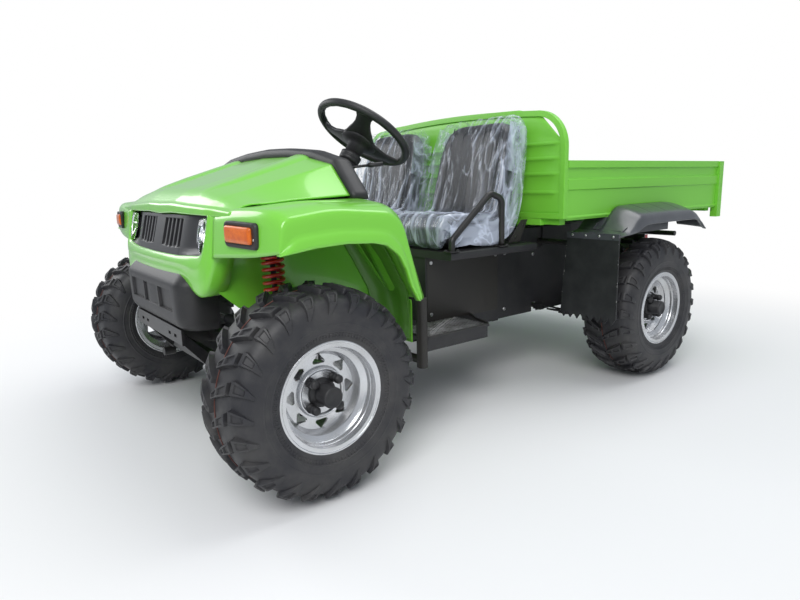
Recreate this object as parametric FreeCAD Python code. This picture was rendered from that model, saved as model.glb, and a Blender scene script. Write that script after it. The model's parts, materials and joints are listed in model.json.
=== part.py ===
import FreeCAD, Part
import math
import os
from FreeCAD import Vector

# Side by side utility vehicle with a tilting cargo bed, in millimetres.
# It faces -Y, +X is its left side, +Z is up, and it stands on Z = 0.
# Its origin is the middle of its footprint. Most stations along the vehicle
# are given as a distance behind the front axle, negative ahead of it.

# Running gear
WHEELBASE = 1746.0
TRACK = 1410.0
TYRE_DIAMETER = 635.0
TYRE_WIDTH = 247.0
TYRE_SIDES = 24
LUG_HEIGHT = 18.0
LUG_WIDTH = 30.0
LUG_SLANT = 16.0
RIM_RADIUS = 151.0
FLANGE_HEIGHT = 14.0
RIM_HALF_WIDTH = 105.0
RIM_WALL = 4.0
DISC_OFFSET = 44.0
WINDOW_COUNT = 8
BOLT_CIRCLE = 110.0
BOLT_COUNT = 4
HUB_RADIUS = 30.0
HUB_REACH = 110.0
SPINDLE_RADIUS = 17.0
TIE_ROD_RADIUS = 9.0
DAMPER_FOOT_INSET = 137.0
DAMPER_FOOT_Z = 262.0
DAMPER_HEAD_INSET = 153.0
DAMPER_HEAD_Z = 706.0
TOWER_INSET = 277.0
TOWER_WIDTH = 32.0
KINGPIN_INSET = 68.0
BALL_JOINT_RISE = 80.0
STEERING_ARM = 105.0
STEERING_ARM_INSET = 72.0
RACK_RISE = 48.0
PIN_GAP = 0.5
MOVING_GAP = 6.0

# Front body panels
PANEL = 5.0
NOSE_HALF_WIDTH = 464.0
NOSE_FRONT = -222.0
NOSE_TOP = 822.0
NOSE_BOTTOM = 572.0
GRILLE_HALF_WIDTH = 418.0
GRILLE_BOTTOM = 694.0
SLOT_COUNT = 4
SLOT_START = 70.0
SLOT_PITCH = 38.0
SLOT_WIDTH = 22.0
GRILLE_LEAN = 15.0
BUMPER_FRONT = -244.0
BUMPER_TOP = 612.0
BUMPER_BOTTOM = 452.0
BUMPER_HALF_WIDTH = 318.0
FENDER_BEAD = 14.0
COWL_DEPTH = 66.0
COWL_RISE = 12.0

# Cab
FLOOR_TOP = 350.0
FLOOR_HALF_WIDTH = 597.0
FLOOR_FRONT = 482.0
BULKHEAD_X = 460.0
BULKHEAD_TOP = 770.0
STEP_REAR = 857.0
SEAT_BOX_HALF_WIDTH = 402.0
SEAT_BOX_FRONT = 693.0
SEAT_BOX_REAR = 1113.0
SEAT_BOX_BOTTOM = 296.0
COVER_REAR = 1620.0
COVER_TOP = 600.0
COVER_CREST = 690.0
DECK_BOTTOM = 614.0
DECK_TOP = 645.0
DECK_HALF_WIDTH = 560.0
SEAT_CENTRE = 300.0
SEAT_WIDTH = 445.0
SEAT_TOP = 1180.0
HIP_BAR_X = 545.0
HIP_BAR_RADIUS = 12.5
WHEEL_CENTRE = (300.0, 488.0, 1088.0)
WHEEL_RADIUS = 188.0
WHEEL_GRIP = 13.0
COLUMN_ANGLE = 54.0
COLUMN_RADIUS = 22.0

# Chassis frame
RAIL_X = 215.0
RAIL_WIDTH = 50.0
RAIL_BOTTOM = 284.0
RAIL_HEIGHT = 60.0
RAIL_KICK = 106.0
KICK_START = 1420.0
KICK_END = 1540.0
POST_WIDTH = 40.0
RAIL_FRONT = -130.0
RAIL_REAR = 2314.0
UPPER_RAIL_X = 280.0
UPPER_RAIL_FRONT = 1182.0
UPPER_RAIL_TOP = 686.0
UPPER_RAIL_HEIGHT = 50.0
UPPER_RAIL_WIDTH = 40.0
POST_X = 600.0
POST_RADIUS = 19.0
STEP_TUBE_RADIUS = 16.0
STEP_TUBE_HEIGHT = 276.0
TOW_PIN_RADIUS = 9.5
TOW_PLATE = 10.0
TOW_HEIGHT = 385.0

# Cargo bed
BED_HALF_WIDTH = 680.0
BED_FRONT = 1191.0
BED_REAR = 2532.5
BED_BOTTOM = 745.0
RAIL_TOP = 978.0
BED_WALL = 24.0
HEADBOARD_TOP = 1183.0
HEADBOARD_CROWN = 22.0
HEADBOARD_CORNER = 150.0
HEADBOARD_RIBS = (852.0, 927.0, 989.0, 1048.0)
TAILGATE_THICKNESS = 24.0
TILT_AXIS = (2290.0, 668.0)
TILT_PIN_RADIUS = 8.0
GATE_AXIS = (2518.5, 741.0)
GATE_PIN_RADIUS = 5.0
GATE_HINGES = (-430.0, 0.0, 430.0)
GATE_HINGE_HALF = 40.0
GATE_BARREL_RADIUS = 9.0
SPRING_X = 430.0
SPRING_REACH = 380.0
HANGER_HEIGHT = RAIL_BOTTOM + 44

# Rear fenders
REAR_FENDER_INNER = 576.0
REAR_FENDER_GAP = 8.0
REAR_FENDER_WIDTH = 141.0
FENDER_TUBES = (1388.0, 2074.0)
FENDER_TUBE_RADIUS = 12.0
FENDER_TUBE_HEIGHT = 628.0
FLAP_BOTTOM = 325.0
FLAP_TEETH = 25.0
FLAP_TOOTH_COUNT = 8

# The corners of the lugs lie on the tyre's outer diameter, their flat tops just inside it
LUG_REACH = LUG_SLANT + LUG_WIDTH / 2
LUG_TOP = math.sqrt((TYRE_DIAMETER / 2) ** 2 - LUG_REACH ** 2)
LUG_STEP = 2 * math.pi / TYRE_SIDES
AXLE_HEIGHT = TYRE_DIAMETER / 2 * math.cos(LUG_STEP / 2 - math.atan2(LUG_REACH, LUG_TOP))
OVERALL_LENGTH = AXLE_HEIGHT + BED_REAR
FRONT_AXLE = AXLE_HEIGHT - OVERALL_LENGTH / 2
RAIL_TOP_LINE = RAIL_BOTTOM + RAIL_HEIGHT
HALF_TRACK = TRACK / 2
DISC_X = HALF_TRACK + DISC_OFFSET
KINGPIN_X = HALF_TRACK - KINGPIN_INSET
DAMPER_FOOT_X = KINGPIN_X - DAMPER_FOOT_INSET
DAMPER_HEAD_X = KINGPIN_X - DAMPER_HEAD_INSET
TOWER_X = KINGPIN_X - TOWER_INSET
REAR_FENDER_X = BED_HALF_WIDTH + REAR_FENDER_GAP
FENDER_OUTER = REAR_FENDER_X + REAR_FENDER_WIDTH


def aft(distance):
    """Y of a station this far behind the front axle."""
    return FRONT_AXLE + distance


REAR_AXLE = aft(WHEELBASE)


def block(x, y, z):
    """Box between two values along each axis."""
    return Part.makeBox(x[1] - x[0], y[1] - y[0], z[1] - z[0], Vector(x[0], y[0], z[0]))


def place(plane, level, a, b):
    """Point of a flat outline: plane x holds (y, z), plane y (x, z), plane z (x, y)."""
    if plane == "x":
        return Vector(level, a, b)
    if plane == "y":
        return Vector(a, level, b)
    return Vector(a, b, level)


def bent_edges(points, radii, closed):
    """Straight runs between the points, joined by tangent arcs of the given radii."""
    count = len(points)
    cuts = []
    for index, corner in enumerate(points):
        if radii[index] <= 0 or (not closed and index in (0, count - 1)):
            cuts.append((corner, None, corner))
            continue
        before = (points[index - 1] - corner).normalize()
        after = (points[(index + 1) % count] - corner).normalize()
        half = before.getAngle(after) / 2
        reach = radii[index] / math.tan(half)
        middle = (before + after).normalize() * (radii[index] / math.sin(half) - radii[index])
        cuts.append((corner + before * reach, corner + middle, corner + after * reach))
    edges = []
    for index in range(count if closed else count - 1):
        start, bend, end = cuts[index]
        if bend is not None:
            edges.append(Part.Arc(start, bend, end).toShape())
        following = cuts[(index + 1) % count][0]
        if (following - end).Length > 1e-6:
            edges.append(Part.LineSegment(end, following).toShape())
    return edges


def outline(plane, level, corners):
    """Closed wire from corners (a, b) or (a, b, radius)."""
    points = [place(plane, level, corner[0], corner[1]) for corner in corners]
    radii = [corner[2] if len(corner) > 2 else 0 for corner in corners]
    return Part.Wire(bent_edges(points, radii, True))


def prism(plane, levels, corners):
    """Flat outline pushed from one level to another."""
    shift = place(plane, levels[1] - levels[0], 0, 0)
    return Part.Face(outline(plane, levels[0], corners)).extrude(shift)


def loft(wires):
    """Solid through flat sections of the same build."""
    return Part.makeLoft(wires, True, True)


def band(corners, thickness):
    """Closed outline of a sheet whose outer line is given, with its wall on the right hand."""
    inner = []
    for index, corner in enumerate(corners):
        here = Vector(corner[0], corner[1], 0)
        sides = []
        for other in (index - 1, index + 1):
            if 0 <= other < len(corners):
                step = Vector(corners[other][0], corners[other][1], 0) - here
                sides.append(step.normalize() * (1 if other > index else -1))
        normals = [Vector(side.y, -side.x, 0) for side in sides]
        mean = (normals[0] + normals[-1]).normalize()
        point = here + mean * (thickness / mean.dot(normals[0]))
        turn = sides[0].cross(sides[-1]).z
        radius = corner[2] if len(corner) > 2 else 0
        if radius > 0:
            radius += thickness if turn > 0 else -thickness
        inner.append((point.x, point.y, radius))
    return list(corners) + inner[::-1]


def mirrored(shape):
    """The same piece on the other side of the vehicle."""
    return shape.mirror(Vector(0, 0, 0), Vector(1, 0, 0))


def both(shape):
    """A piece and its mirror image."""
    return [shape, mirrored(shape)]


def fuse(shapes):
    """One solid from pieces that touch."""
    return shapes[0].multiFuse(shapes[1:]).removeSplitter()


def rod(start, end, radius):
    """Round bar between two points."""
    along = end - start
    return Part.makeCylinder(radius, along.Length, start, along)


def bent_tube(points, radius, bend):
    """Round bar along straight runs joined by bends."""
    path = Part.Wire(bent_edges(points, [bend] * len(points), False))
    ring = Part.Wire(Part.makeCircle(radius, points[0], points[1] - points[0]))
    return path.makePipeShell([ring], True, True)


def revolved(profile):
    """Ring about the X axis from a profile of (x, radius) corners."""
    face = Part.Face(outline("y", 0, profile))
    return face.revolve(Vector(0, 0, 0), Vector(1, 0, 0), 360)


def save(name, shape):
    """One STEP file for each node."""
    shape.exportStep(os.path.join("parts", name + ".step"))


def tyre():
    """Off-road tyre about the X axis: a carcass of flats, with a slanted lug on each one of both halves."""
    tread = LUG_TOP - LUG_HEIGHT
    half = TYRE_WIDTH / 2
    # Distance from the middle and radius, from the bead up to the tread
    profile = [(RIM_HALF_WIDTH - 5, RIM_RADIUS / math.cos(LUG_STEP / 2)), (half - 1, 226),
               (half - 18, tread - 10), (2, tread)]
    # The flats of the two halves are half a step apart, as the lugs are
    rings = []
    for side, start in ((1, 0.5), (-1, 0)):
        turns = [LUG_STEP * (k + start) for k in range(TYRE_SIDES)]
        for x, radius in profile if side > 0 else profile[::-1]:
            rings.append([Vector(side * x, radius * math.cos(turn), radius * math.sin(turn)) for turn in turns])
    rows = len(profile)
    faces = []
    for index in range(2 * rows):
        first, second = rings[index], rings[(index + 1) % (2 * rows)]
        for k in range(TYRE_SIDES):
            after = (k + 1) % TYRE_SIDES
            if index == rows - 1:
                patches = [[first[k], first[after], second[after]], [first[k], second[after], second[k]]]
            elif index == 2 * rows - 1:
                patches = [[first[k], first[after], second[k]], [first[after], second[after], second[k]]]
            else:
                patches = [[first[k], first[after], second[after], second[k]]]
            for patch in patches:
                faces.append(Part.Face(Part.makePolygon(patch + patch[:1])))
    carcass = Part.Solid(Part.Shell(faces))
    if carcass.Volume < 0:
        carcass.reverse()
    lugs = []
    for side in (1, -1):
        for k in range(TYRE_SIDES):
            lug = tread_lug(tread, half, side)
            turn = math.degrees(LUG_STEP) * (k + (0 if side > 0 else 0.5))
            lug.rotate(Vector(0, 0, 0), Vector(1, 0, 0), turn)
            lugs.append(lug)
    return fuse([carcass] + lugs)


def tread_lug(tread, half, side):
    """Slanted bar from near the tread's middle line over the shoulder, at the top of the tyre."""
    inner_x = 5.0
    wide = LUG_WIDTH / 2
    bar = [(inner_x, LUG_SLANT - wide), (half, -LUG_SLANT - wide), (half, -LUG_SLANT + wide),
           (inner_x, LUG_SLANT + wide)]
    plan = prism("z", (tread - 60, LUG_TOP), [(side * x, y) for x, y in bar])
    profile = [(side * inner_x, tread - 12), (side * inner_x, LUG_TOP), (side * half, LUG_TOP - 14),
               (side * (half - 12), tread - 52)]
    return plan.common(prism("y", (-LUG_REACH - 9, LUG_REACH + 9), profile))


def wheel_rim():
    """Steel rim and hub about the X axis, its outer face towards +X."""
    lip = RIM_RADIUS + FLANGE_HEIGHT
    seat = RIM_RADIUS - 0.4
    drop = seat - 22
    half = RIM_HALF_WIDTH
    edge = half + RIM_WALL
    over = [(-edge + RIM_WALL, seat), (-half + 22, seat), (-half + 34, drop), (half - 45, drop),
            (half - 33, seat), (edge - RIM_WALL, seat), (edge - RIM_WALL, lip), (edge, lip)]
    under = [(edge, seat - RIM_WALL), (half - 33, seat - RIM_WALL), (half - 45, drop - RIM_WALL),
             (-half + 34, drop - RIM_WALL), (-half + 22, seat - RIM_WALL), (-edge, seat - RIM_WALL),
             (-edge, lip), (-edge + RIM_WALL, lip)]
    barrel = revolved(over + under)
    reach = DISC_OFFSET
    disc = revolved([(reach, 0), (reach, 62), (reach - 8, 74), (reach - 8, 112), (reach + 14, drop - 1.5),
                     (reach + 9, drop - 1.5), (reach - 14, 114), (reach - 14, 72), (reach - 6, 58),
                     (reach - 6, 0)])
    cutter = prism("x", (reach - 40, reach + 30), [(-27, 84, 6), (27, 84, 6), (0, 116, 6)])
    for k in range(WINDOW_COUNT):
        window = cutter.copy()
        window.rotate(Vector(0, 0, 0), Vector(1, 0, 0), 360.0 / WINDOW_COUNT * k)
        disc = disc.cut(window)
    hub = revolved([(-32, SPINDLE_RADIUS + PIN_GAP), (-32, 82), (reach - 14, 82), (reach - 14, 50),
                    (reach - 3, 50), (reach - 3, HUB_RADIUS), (HUB_REACH - 4, HUB_RADIUS),
                    (HUB_REACH, HUB_RADIUS - 5), (HUB_REACH, 0), (reach - 2, 0),
                    (reach - 2, SPINDLE_RADIUS + PIN_GAP)])
    nuts = []
    for k in range(BOLT_COUNT):
        angle = 2 * math.pi * (k + 0.5) / BOLT_COUNT
        centre = Vector(reach - 4, BOLT_CIRCLE / 2 * math.cos(angle), BOLT_CIRCLE / 2 * math.sin(angle))
        nuts.append(Part.makeCylinder(10, 36, centre, Vector(1, 0, 0)))
    return fuse([barrel, disc, hub] + nuts)


def wheels():
    """Four wheels, each a tyre on its rim, the two on the right turned to face outwards."""
    lugged, rim = tyre(), wheel_rim()
    for end, axle in (("front", FRONT_AXLE), ("rear", REAR_AXLE)):
        for side, sign in (("left", 1), ("right", -1)):
            for kind, shape in (("tyre", lugged), ("rim", rim)):
                piece = shape.copy() if sign > 0 else mirrored(shape)
                piece.translate(Vector(sign * HALF_TRACK, axle, AXLE_HEIGHT))
                save("%s_%s_%s" % (kind, end, side), piece)


def knuckle():
    """Left upright between the ball joints, with its spindle and steering arm."""
    low, high = AXLE_HEIGHT - BALL_JOINT_RISE, AXLE_HEIGHT + BALL_JOINT_RISE
    upright = prism("y", (FRONT_AXLE - 20, FRONT_AXLE + 20),
                    [(KINGPIN_X - 14, low), (KINGPIN_X + 14, low), (KINGPIN_X + 24, AXLE_HEIGHT - 36),
                     (KINGPIN_X + 24, AXLE_HEIGHT + 36), (KINGPIN_X + 14, high), (KINGPIN_X - 14, high)])
    centre = Vector(KINGPIN_X, FRONT_AXLE, AXLE_HEIGHT)
    spindle = rod(centre, Vector(DISC_X - 8, FRONT_AXLE, AXLE_HEIGHT), SPINDLE_RADIUS)
    arm_z = AXLE_HEIGHT + RACK_RISE - TIE_ROD_RADIUS - MOVING_GAP
    tip_x, tip_y = KINGPIN_X - STEERING_ARM_INSET, FRONT_AXLE + STEERING_ARM
    arm = prism("z", (arm_z - 14, arm_z), [(KINGPIN_X - 12, FRONT_AXLE - 12), (KINGPIN_X + 14, FRONT_AXLE - 12),
                                           (KINGPIN_X + 14, FRONT_AXLE + 14), (tip_x + 12, tip_y + 6, 6),
                                           (tip_x - 12, tip_y + 4, 6)])
    return fuse([upright, spindle, arm])


def front_arms():
    """Upper and lower wishbones on both sides, the lower with a saddle for the damper."""
    arms = []
    # Side of the axle, inner pivot from the middle, half spread of the pivots, tube radius, rise inboard
    table = [(-1, RAIL_X + 31, 130, 11, 36), (1, TOWER_X - 40, 96, 9, 16)]
    for sign, inner_x, spread, radius, rise in table:
        tip = Vector(KINGPIN_X, FRONT_AXLE, AXLE_HEIGHT + sign * (BALL_JOINT_RISE + MOVING_GAP + 8))
        pieces = [Part.makeCylinder(16, 16, tip - Vector(0, 0, 8))]
        for side in (1, -1):
            neck = Vector(KINGPIN_X - 60, FRONT_AXLE + side * 16, tip.z)
            waist = Vector(KINGPIN_X - 112, FRONT_AXLE + side * 54, tip.z)
            foot = Vector(inner_x, FRONT_AXLE + side * spread, tip.z + rise)
            pieces.append(bent_tube([tip + Vector(-8, side * 3, 0), neck, waist, foot], radius, 24))
            pieces.append(rod(foot - Vector(0, 22, 0), foot + Vector(0, 22, 0), radius + 6))
        if sign < 0:
            pieces.append(block((DAMPER_FOOT_X - 18, DAMPER_FOOT_X + 18), (FRONT_AXLE - 66, FRONT_AXLE + 66),
                                (tip.z - 6, tip.z + 8)))
            pieces += [block((DAMPER_FOOT_X - 16, DAMPER_FOOT_X + 16), (FRONT_AXLE + y - 4, FRONT_AXLE + y + 4),
                             (tip.z + 7, DAMPER_FOOT_Z + 14)) for y in (-26, 26)]
        arms.append(fuse(pieces))
    return Part.makeCompound([shape for arm in arms for shape in both(arm)])


def coil_over():
    """Left front damper with its spring drawn as turns round a tube."""
    low = Vector(DAMPER_FOOT_X, FRONT_AXLE, DAMPER_FOOT_Z)
    high = Vector(DAMPER_HEAD_X, FRONT_AXLE, DAMPER_HEAD_Z)
    axis = (high - low).normalize()
    length = (high - low).Length
    pieces = [rod(low, high, 9), rod(low + axis * 30, low + axis * (length * 0.55), 21)]
    spring_start, spring_end, turns = 110.0, length - 40, 8
    pitch = (spring_end - spring_start) / turns
    for k in range(turns):
        start = low + axis * (spring_start + pitch * (k + 0.25))
        pieces.append(Part.makeCylinder(33, pitch * 0.42, start, axis))
    for distance in (spring_start - 8, spring_end + 2):
        pieces.append(Part.makeCylinder(36, 8, low + axis * distance, axis))
    pieces.append(rod(low - Vector(0, 20, 0), low + Vector(0, 20, 0), 13))
    pieces.append(rod(high - Vector(0, 20, 0), high + Vector(0, 20, 0), 13))
    return fuse(pieces)


def steering_gear():
    """Rack housing across the frame and the sliding bar with its tie rods."""
    y, z = FRONT_AXLE + STEERING_ARM, AXLE_HEIGHT + RACK_RISE
    half = RAIL_X - RAIL_WIDTH / 2 - 4
    bore = rod(Vector(-half - 5, y, z), Vector(half + 5, y, z), TIE_ROD_RADIUS + PIN_GAP)
    housing = rod(Vector(-half, y, z), Vector(half, y, z), 22)
    feet = [block((x - 20, x + 20), (y - 16, y + 16), (RAIL_TOP_LINE - 40, z - 10)) for x in (-half + 20, half - 20)]
    pinion = rod(Vector(120, y - 50, z + 12), Vector(120, y - 10, z + 12), 20)
    eye = KINGPIN_X - STEERING_ARM_INSET
    bar = rod(Vector(-eye, y, z), Vector(eye, y, z), TIE_ROD_RADIUS)
    ends = [Part.makeCylinder(14, 18, Vector(x, y, z - 9)) for x in (-eye, eye)]
    return fuse([housing, pinion] + feet).cut(bore), fuse([bar] + ends)


def rear_suspension():
    """Rear axle with its gearbox, and a leaf spring on each side."""
    drum = HALF_TRACK - 36 - MOVING_GAP
    centre = Vector(0, REAR_AXLE, AXLE_HEIGHT)
    tube = rod(Vector(-drum, REAR_AXLE, AXLE_HEIGHT), Vector(drum, REAR_AXLE, AXLE_HEIGHT), 32)
    stub = DISC_X - 8
    shaft = rod(Vector(-stub, REAR_AXLE, AXLE_HEIGHT), Vector(stub, REAR_AXLE, AXLE_HEIGHT), SPINDLE_RADIUS)
    case = Part.makeCylinder(95, 120, centre - Vector(60, 0, 0), Vector(1, 0, 0))
    nose = Part.makeCylinder(55, 170, centre - Vector(0, 0, 0), Vector(0, -1, 0))
    motor = Part.makeCylinder(92, 230, centre - Vector(0, 150, 0), Vector(0, -1, 0))
    pads = [block((x - 30, x + 30), (REAR_AXLE - 40, REAR_AXLE + 40), (AXLE_HEIGHT - 46, AXLE_HEIGHT))
            for x in (-SPRING_X, SPRING_X)]
    axle = fuse([tube, shaft, case, nose, motor] + pads)
    springs = []
    for x in (-SPRING_X, SPRING_X):
        leaves = []
        for level, (reach, sag) in enumerate([(SPRING_REACH, 70), (300, 42), (210, 20)]):
            top = AXLE_HEIGHT - 50 - 8 * level
            leaves.append(prism("x", (x - 25, x + 25),
                                [(REAR_AXLE - reach, top + sag), (REAR_AXLE - reach * 0.5, top + sag * 0.22, 300),
                                 (REAR_AXLE, top, 900), (REAR_AXLE + reach * 0.5, top + sag * 0.22, 300),
                                 (REAR_AXLE + reach, top + sag), (REAR_AXLE + reach, top + sag - 8),
                                 (REAR_AXLE + reach * 0.5, top + sag * 0.22 - 8, 300), (REAR_AXLE, top - 8, 900),
                                 (REAR_AXLE - reach * 0.5, top + sag * 0.22 - 8, 300),
                                 (REAR_AXLE - reach, top + sag - 8)]))
        springs.append(fuse(leaves))
    return axle, Part.makeCompound(springs)


def square_post(x, d, z):
    """Square tube that leans outwards from a lower point to an upper one."""
    half = POST_WIDTH / 2
    wires = []
    for middle, level in zip(x, z):
        wires.append(outline("z", level, [(middle - half, aft(d) - half), (middle + half, aft(d) - half),
                                          (middle + half, aft(d) + half), (middle - half, aft(d) + half)]))
    return loft(wires)


def side_rails():
    """Long lower rails that rise over the rear axle."""
    low, high, kick = RAIL_BOTTOM, RAIL_TOP_LINE, RAIL_KICK
    line = [(aft(RAIL_FRONT), low), (aft(KICK_START), low), (aft(KICK_END), low + kick),
            (aft(RAIL_REAR), low + kick), (aft(RAIL_REAR), high + kick), (aft(KICK_END - 20), high + kick),
            (aft(KICK_START - 20), high), (aft(RAIL_FRONT), high)]
    return Part.makeCompound(both(prism("x", (RAIL_X - RAIL_WIDTH / 2, RAIL_X + RAIL_WIDTH / 2), line)))


def upper_rails():
    """Rails that carry the bed, with the pins that it tilts on."""
    half = UPPER_RAIL_WIDTH / 2
    rail = block((UPPER_RAIL_X - half, UPPER_RAIL_X + half), (aft(UPPER_RAIL_FRONT), aft(TILT_AXIS[0] + 6)),
                 (UPPER_RAIL_TOP - UPPER_RAIL_HEIGHT, UPPER_RAIL_TOP))
    pin = rod(Vector(UPPER_RAIL_X, aft(TILT_AXIS[0]), TILT_AXIS[1]),
              Vector(UPPER_RAIL_X + half + 26, aft(TILT_AXIS[0]), TILT_AXIS[1]), TILT_PIN_RADIUS)
    return Part.makeCompound(both(fuse([rail, pin])))


def cross_members():
    """Square tubes across and between the rails, and the round tubes under the rear fenders."""
    low, high, kick = RAIL_BOTTOM, RAIL_TOP_LINE, RAIL_KICK
    inside, outside = RAIL_X - RAIL_WIDTH / 2, RAIL_X + RAIL_WIDTH / 2
    upper_inside = UPPER_RAIL_X - UPPER_RAIL_WIDTH / 2
    upper_low = UPPER_RAIL_TOP - UPPER_RAIL_HEIGHT
    side = SEAT_BOX_HALF_WIDTH - 5
    # Distance behind the front axle, from x, to x, bottom and top
    table = [(RAIL_FRONT + 20, -inside, inside, low + 8, high - 8), (40, -inside, inside, low + 8, high - 8),
             (560, -inside, inside, low + 8, high - 8),
             (SEAT_BOX_FRONT + 12, -inside, inside, low + 8, high), (SEAT_BOX_FRONT + 12, outside, side, low + 8, high),
             (SEAT_BOX_FRONT + 12, -side, -outside, low + 8, high),
             (SEAT_BOX_REAR - 14, -inside, inside, low + 8, high), (SEAT_BOX_REAR - 14, outside, side, low + 8, high),
             (SEAT_BOX_REAR - 14, -side, -outside, low + 8, high),
             (1640, -inside, inside, low + kick + 8, high + kick - 8),
             (RAIL_REAR - 20, -inside, inside, low + kick + 8, high + kick - 8),
             (UPPER_RAIL_FRONT + 20, -upper_inside, upper_inside, upper_low + 4, UPPER_RAIL_TOP - 6),
             (2020, -upper_inside, upper_inside, upper_low + 4, UPPER_RAIL_TOP - 6)]
    pieces = [block((x0, x1), (aft(d) - 18, aft(d) + 18), (z, top)) for d, x0, x1, z, top in table]
    for d in (UPPER_RAIL_FRONT + 20, 1600, 2020, TILT_AXIS[0] - 16):
        foot = high if d < KICK_START else high + kick
        pieces += both(square_post((RAIL_X, UPPER_RAIL_X), d, (foot, upper_low)))
    for d in FENDER_TUBES:
        tube = rod(Vector(-REAR_FENDER_X + 3, aft(d), FENDER_TUBE_HEIGHT),
                   Vector(REAR_FENDER_X - 3, aft(d), FENDER_TUBE_HEIGHT), FENDER_TUBE_RADIUS)
        pieces.append(tube.cut(upper_rails()))
    return Part.makeCompound(pieces)


def step_tubes():
    """Round tubes under the steps, the front one with an upright at each end."""
    pieces = []
    for d, half in ((FLOOR_FRONT + 23, POST_X), (STEP_REAR - 27, FLOOR_HALF_WIDTH)):
        tube = rod(Vector(-half, aft(d), STEP_TUBE_HEIGHT), Vector(half, aft(d), STEP_TUBE_HEIGHT), STEP_TUBE_RADIUS)
        if half == POST_X:
            tube = fuse([tube] + both(Part.makeCylinder(POST_RADIUS, 256, Vector(POST_X, aft(d), 250))))
        pieces.append(tube.cut(side_rails()))
    return Part.makeCompound(pieces)


def damper_towers():
    """Tower on each rail that holds the top of the damper and the upper arm's pivots."""
    low, high = RAIL_TOP_LINE - 40, DAMPER_HEAD_Z + 22
    inner, outer = TOWER_X - TOWER_WIDTH / 2, TOWER_X + TOWER_WIDTH / 2
    tower = prism("x", (inner, outer), [(aft(-60), low + 37), (aft(60), low + 37), (aft(26), high), (aft(-26), high)])
    foot = block((RAIL_X + RAIL_WIDTH / 2, outer), (aft(-40), aft(40)), (low, RAIL_TOP_LINE))
    bracket = block((outer - 6, DAMPER_HEAD_X + 16), (aft(-30), aft(30)), (high - 8, high))
    ears = [block((DAMPER_HEAD_X - 20, DAMPER_HEAD_X + 16), (aft(y - 4), aft(y + 4)), (DAMPER_HEAD_Z - 16, high))
            for y in (-26, 26)]
    return Part.makeCompound(both(fuse([tower, foot, bracket] + ears)))


def frame_brackets():
    """Spring hangers, the slotted plate below the bumper, the tow plate and the lamp plates."""
    pieces = []
    for sign in (-1, 1):
        d = WHEELBASE + sign * (SPRING_REACH + 12)
        z = HANGER_HEIGHT + (RAIL_KICK if sign > 0 else 0)
        bar = rod(Vector(RAIL_X + RAIL_WIDTH / 2, aft(d), z), Vector(SPRING_X, aft(d), z), 11)
        shoe = block((SPRING_X - 22, SPRING_X + 22), (aft(d) - 12, aft(d) + 12), (314, z + 12))
        pieces += both(fuse([bar, shoe]))
    front = BUMPER_FRONT
    plate = block((-256, 256), (aft(front + 14), aft(front + 24)), (397, 450))
    for x in (-190, -130, 130, 190):
        plate = plate.cut(block((x - 12, x + 12), (aft(front), aft(front + 30)), (416, 427)))
    stay = prism("x", (RAIL_X - 18, RAIL_X + 18), [(aft(front + 20), 400), (aft(front + 20), 440),
                                                   (aft(RAIL_FRONT), RAIL_TOP_LINE), (aft(RAIL_FRONT), RAIL_BOTTOM + 6)])
    pieces.append(fuse([plate] + both(stay)))
    rear, kicked = RAIL_REAR, RAIL_TOP_LINE + RAIL_KICK
    hitch = block((-35, 35), (aft(rear - 30), aft(rear + 85)), (TOW_HEIGHT - TOW_PLATE, TOW_HEIGHT))
    hitch = hitch.cut(Part.makeCylinder(TOW_PIN_RADIUS, 40, Vector(0, aft(rear + 55), TOW_HEIGHT - 25)))
    web = block((-30, 30), (aft(rear - 36), aft(rear - 4)), (TOW_HEIGHT - 4, RAIL_BOTTOM + RAIL_KICK + 8))
    pieces.append(fuse([hitch, web]))
    lamp_plate = block((RAIL_X - 10, 385), (aft(rear), aft(rear + 6)), (515, 600))
    lamp_stay = block((RAIL_X - 10, RAIL_X + 20), (aft(rear), aft(rear + 6)), (kicked - 30, 520))
    pieces += both(fuse([lamp_plate, lamp_stay]))
    return Part.makeCompound(pieces)


# Hood sections: distance behind the front axle, middle height, ridge x and height,
# shoulder x and height, foot x and height
HOOD_SECTIONS = [
    (-177, 860, 250, 856, 428, 849, 572, 840),
    (-150, 882, 280, 877, 436, 866, 576, 850),
    (-70, 916, 320, 911, 452, 893, 582, 858),
    (25, 944, 335, 938, 464, 918, 587, 864),
    (115, 974, 346, 964, 476, 941, 590, 868),
    (228, 1013, 357, 997, 491, 972, 592, 872),
]


def hood_line(row, rise=0.0):
    """Outer corners of a hood section from right foot to left foot."""
    d, middle, ridge_x, ridge_z, shoulder_x, shoulder_z, foot_x, foot_z = row
    half = [(foot_x + rise, foot_z), (shoulder_x + rise, shoulder_z + rise, 30), (ridge_x, ridge_z + rise, 90)]
    left = half + [(0, middle + rise, 900)]
    return [(-corner[0],) + tuple(corner[1:]) for corner in half] + left[::-1]


def hood():
    """One-piece hood over the nose, open below, with its front lip turned down."""
    skin = loft([outline("y", aft(row[0]), band(hood_line(row), PANEL)) for row in HOOD_SECTIONS])
    first = HOOD_SECTIONS[0]
    lip = block((-GRILLE_HALF_WIDTH - 6, GRILLE_HALF_WIDTH + 6), (aft(first[0]), aft(first[0]) + PANEL),
                (NOSE_TOP + 2, first[1] - 2))
    return fuse([skin, lip])


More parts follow.
